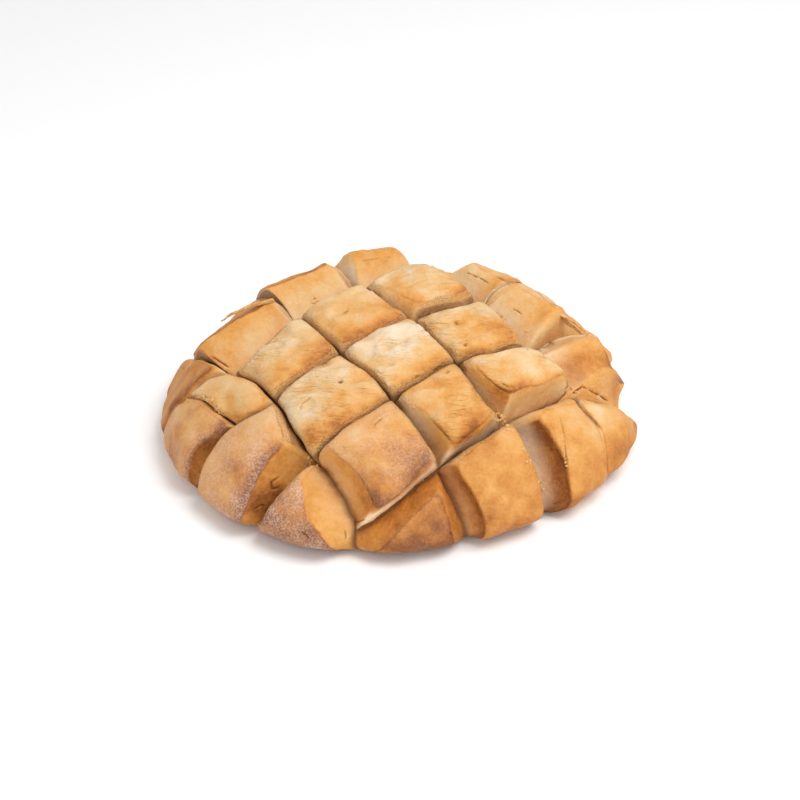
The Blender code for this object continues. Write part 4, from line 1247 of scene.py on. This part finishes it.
def crust_material():
    """The baked crust, its torn and floury places, and the cut faces down to floors darkened by painted
    shade, with painted shade in the narrow slits and painted light and shade along the creases.
    """
    shader = Shader("baked_crust")
    folded = shader.attribute("folded")
    narrow = shader.attribute("narrow")
    fine = shader.noise(1.5, 4.0, 0.62)
    grain = shader.noise(0.55, 3.0, 0.65)
    valley = shader.math("MULTIPLY", shader.away_from(shader.stretched(9.0, 2.2), 0.5), 7.0, clamp=True)
    edge = shader.plus(shader.attribute("inward"), shader.times(shader.noise(1.3, 3.0, 0.6), 2.4))

    spots = shader.times(shader.less(fine, 0.5), FINE_TONE)
    broad_spots = shader.times(shader.less(shader.noise(7.0), 0.5), BROAD_TONE)
    # Painted light and shade: the creases are browned and the skin between them made paler.
    crease_light_and_shade = shader.times(shader.less(0.6, valley), folded, CREASE_PAINTED_LIGHT)
    rim = shader.between(shader.away_from(edge, 1.2), 1.0, 0.2)
    rim = shader.times(rim, shader.less(1.0, narrow), RIM_TONE)
    bake_and_shade = shader.plus(shader.attribute("bake_and_shade"), spots, broad_spots, crease_light_and_shade, rim)
    colour = shader.mix(shader.attribute("pale"), shader.ramp(bake_and_shade, BAKE_RAMP), linear(*CRUMB))

    specks = shader.plus(shader.between(shader.noise(0.9, 3.0, 0.7), 0.42, 0.62), 0.25)
    powder = shader.math("MULTIPLY", shader.attribute("flour"), specks, clamp=True)
    colour = shader.mix(powder, colour, linear(*FLOUR))

    lip = shader.times(shader.between(edge, 1.2, 0.7), narrow, LIP_SHARE)
    colour = shader.mix(lip, colour, linear(*TORN_LIP))
    # Painted shade: narrow cut walls darken a few millimetres below the crust's edge, as a dark slit.
    slit_shade_and_specks = shader.times(shader.between(edge, -2.3, -3.6), narrow, SLIT_SHADE_SHARE)
    torn = shader.times(shader.between(edge, 2.6, 0.6), shader.between(grain, 0.52, 0.60))
    slit_shade_and_specks = shader.math("MAXIMUM", slit_shade_and_specks, shader.times(torn, narrow, SPECK_SHARE))
    # Painted shade in the cut floors, slits, cracks and pits, with the dark specks, mixed in as dark brown.
    dark = shader.math("MAXIMUM", shader.attribute("dark"), slit_shade_and_specks)
    colour = shader.mix(dark, colour, linear(*GROOVE_SHADE_AND_SPECKS))

    normal = shader.bumps(
        (shader.noise(2.4, 5.0, 0.6), SKIN_BUMP),
        (shader.times(shader.stretched(14.0, 4.0), folded), FOLD_BUMP),
        (shader.times(valley, folded), CREASE_BUMP),
        (shader.times(shader.between(edge, 1.6, 0.8), narrow, fine), TORN_BUMP),
        (grain, GRAIN_BUMP),
    )
    return shader.finished({"Base Color": colour, "Roughness": 0.6, "Specular IOR Level": 0.3,
                            "Normal": normal})


def scrap_material(name, dark, pale):
    """Dry crust or crumb between two colours."""
    shader = Shader(name)
    tone = shader.between(shader.noise(1.4), 0.3, 0.7)
    colour = shader.mix(tone, linear(*dark), linear(*pale))
    normal = shader.bumps((shader.noise(0.7), SCRAP_BUMP))
    return shader.finished({"Base Color": colour, "Roughness": 0.8, "Normal": normal})


def floor_material():
    return Shader("pale_floor").finished({"Base Color": linear(*FLOOR_COLOUR), "Roughness": 0.9})


def new_object(name, data):
    """An object in the scene, with a mesh, a light or a camera."""
    made = bpy.data.objects.new(name, data)
    bpy.context.scene.collection.objects.link(made)
    return made


def new_mesh_object(name, points, faces, material, attributes):
    data = bpy.data.meshes.new(name)
    data.from_pydata((points * MM).tolist(), [], faces.tolist())
    for title, numbers in attributes.items():
        layer = data.attributes.new(title, "FLOAT", "POINT")
        layer.data.foreach_set("value", np.asarray(numbers, np.float32))
    data.materials.append(material)
    data.shade_smooth()
    return new_object(name, data)


def flake(stations, seed):
    """A flat, tapering, ragged sliver's points and triangles, its first end inside the loaf."""
    places = np.linspace(0, len(stations) - 1, FLAKE_STATIONS)
    stations = interpolated(places, np.arange(len(stations)), stations)
    middle, out = crust_frame(stations[:, :2])
    middle = middle + out * stations[:, 2:3]
    across = np.cross(np.gradient(middle, axis=0), out)
    across /= np.linalg.norm(across, axis=1)[:, None]
    half_width, half_height = 0.5 * across * stations[:, 3:4], 0.5 * out * stations[:, 4:5]
    turn = np.linspace(0, FULL_TURN, FLAKE_SIDES, endpoint=False)[:, None]
    rings = middle[:, None] + np.cos(turn) * half_width[:, None] + np.sin(turn) * half_height[:, None]
    points = rings.reshape(-1, 3)
    points = points + np.stack([cloud(points, *FLAKE_RAGS, seed + k, 2) for k in range(3)], -1)
    points = np.concatenate([points, [points[:FLAKE_SIDES].mean(0), points[-FLAKE_SIDES:].mean(0)]])
    faces = []
    for n in range(FLAKE_SIDES):
        m = (n + 1) % FLAKE_SIDES
        for k in range(FLAKE_STATIONS - 1):
            low, high = k * FLAKE_SIDES, (k + 1) * FLAKE_SIDES
            faces += [(low + n, high + n, high + m), (low + n, high + m, low + m)]
        last = (FLAKE_STATIONS - 1) * FLAKE_SIDES
        faces += [(n, m, len(points) - 2), (last + m, last + n, len(points) - 1)]
    return points, np.array(faces)


def crumb_shapes(tree):
    """The crumbs' points and triangles, each sunk a little into what it lies on."""
    ball = bmesh.new()
    bmesh.ops.create_icosphere(ball, subdivisions=2, radius=1.0)
    points = np.array([vertex.co for vertex in ball.verts])
    faces = np.array([[vertex.index for vertex in face.verts] for face in ball.faces])
    ball.free()
    draw = np.random.default_rng(7)
    shapes = []
    for line, count, spread, largest in CRUMBS:
        for place in draw.uniform(0, len(line) - 1, count):
            pixel = interpolated(place, np.arange(len(line)), line) + draw.normal(0, spread, 2)
            radius = largest * draw.uniform(0.35, 1.0) ** 1.5
            stretch = draw.uniform(0.7, 1.3, 3)
            swell = 1 + cloud(points + draw.uniform(0, 90), *CRUMB_LUMPS)
            for spot in on_surface(tree, [pixel]):
                shapes.append((spot + points * swell[:, None] * radius * stretch, faces))
    return shapes


def make_scraps(name, shapes, material):
    """Several loose shapes as one piece."""
    starts = np.cumsum([0] + [len(points) for points, _ in shapes[:-1]])
    points = np.concatenate([points for points, _ in shapes])
    faces = np.concatenate([faces + start for (_, faces), start in zip(shapes, starts)])
    scraps = new_mesh_object(name, points - CENTRE, faces, material, {})
    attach(scraps, "root")


def make_loaf():
    """The loaf as one piece. Gives its surface without relief, on which the crumbs are laid."""
    points, values, faces = loaf_surface()
    tree = BVHTree.FromPolygons(points.tolist(), faces.tolist(), all_triangles=True)
    pits = placed(tree, PITS)
    cracks = [(on_surface(tree, pixels), *sizes) for pixels, *sizes in CRACKS]
    cracks = [crack for crack in cracks if len(crack[0]) > 1]
    points, values, faces = refined(points, values, faces, pits, cracks)
    move, pit_and_crack_shade = relief(points, values, pits, cracks)
    tones = colours(points, values, placed(tree, TONE_AND_SHADE_PATCHES))
    # The painted shade in the pits and cracks joins that of the cut floors.
    tones["dark"] = np.maximum(tones["dark"], pit_and_crack_shade)
    points = points + vertex_normals(points, faces) * move[:, None]
    points[:, 2] = np.maximum(points[:, 2], 0)
    loaf = new_mesh_object("crusty_loaf", points - CENTRE, faces, crust_material(), tones)
    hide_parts("loaf")
    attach(loaf, "root")
    return tree


def make_floor():
    corners = FLOOR_HALF * np.array([(-1, -1, 0), (1, -1, 0), (1, 1, 0), (-1, 1, 0)])
    floor = new_mesh_object("floor", corners, np.array([(0, 1, 2, 3)]), floor_material(), {})


def make_light():
    """The white studio: an even sky and the lamps."""
    scene = bpy.context.scene
    scene.view_settings.view_transform = "Standard"
    scene.world = bpy.data.worlds.new("studio")
    scene.world.use_nodes = True
    sky = scene.world.node_tree.nodes["Background"]
    sky.inputs["Color"].default_value = (1, 1, 1, 1)
    sky.inputs["Strength"].default_value = SKY
    for name, place, size, power in LAMPS:
        data = bpy.data.lights.new(name, "AREA")
        data.energy = power
        data.size = size
        lamp = new_object(name, data)
        lamp.location = place
        lamp.rotation_euler = (Vector(LAMP_AIM) - lamp.location).to_track_quat("-Z", "Y").to_euler()


def make_camera():
    """The camera that the photograph was taken with."""
    place, forward, _, _ = camera_axes()
    data = bpy.data.cameras.new("camera")
    data.sensor_width = SENSOR_WIDTH
    data.lens = FOCAL * SENSOR_WIDTH / PICTURE
    camera = new_object("camera", data)
    camera.location = Vector((place - CENTRE) * MM)
    camera.rotation_euler = Vector(forward).to_track_quat("-Z", "Y").to_euler()
    bpy.context.scene.camera = camera


make_camera()
make_floor()
make_light()
bare_loaf = make_loaf()
flakes = [flake(stations, FLAKE_SEED + k) for k, stations in enumerate(FLAKES)]
make_scraps("crust_splinters", flakes, scrap_material("crust_splinter", GOLD_SCRAP, PALE_SCRAP))
make_scraps("crumbs", crumb_shapes(bare_loaf), scrap_material("crumb", MIDDLE_SCRAP, PALE_SCRAP))
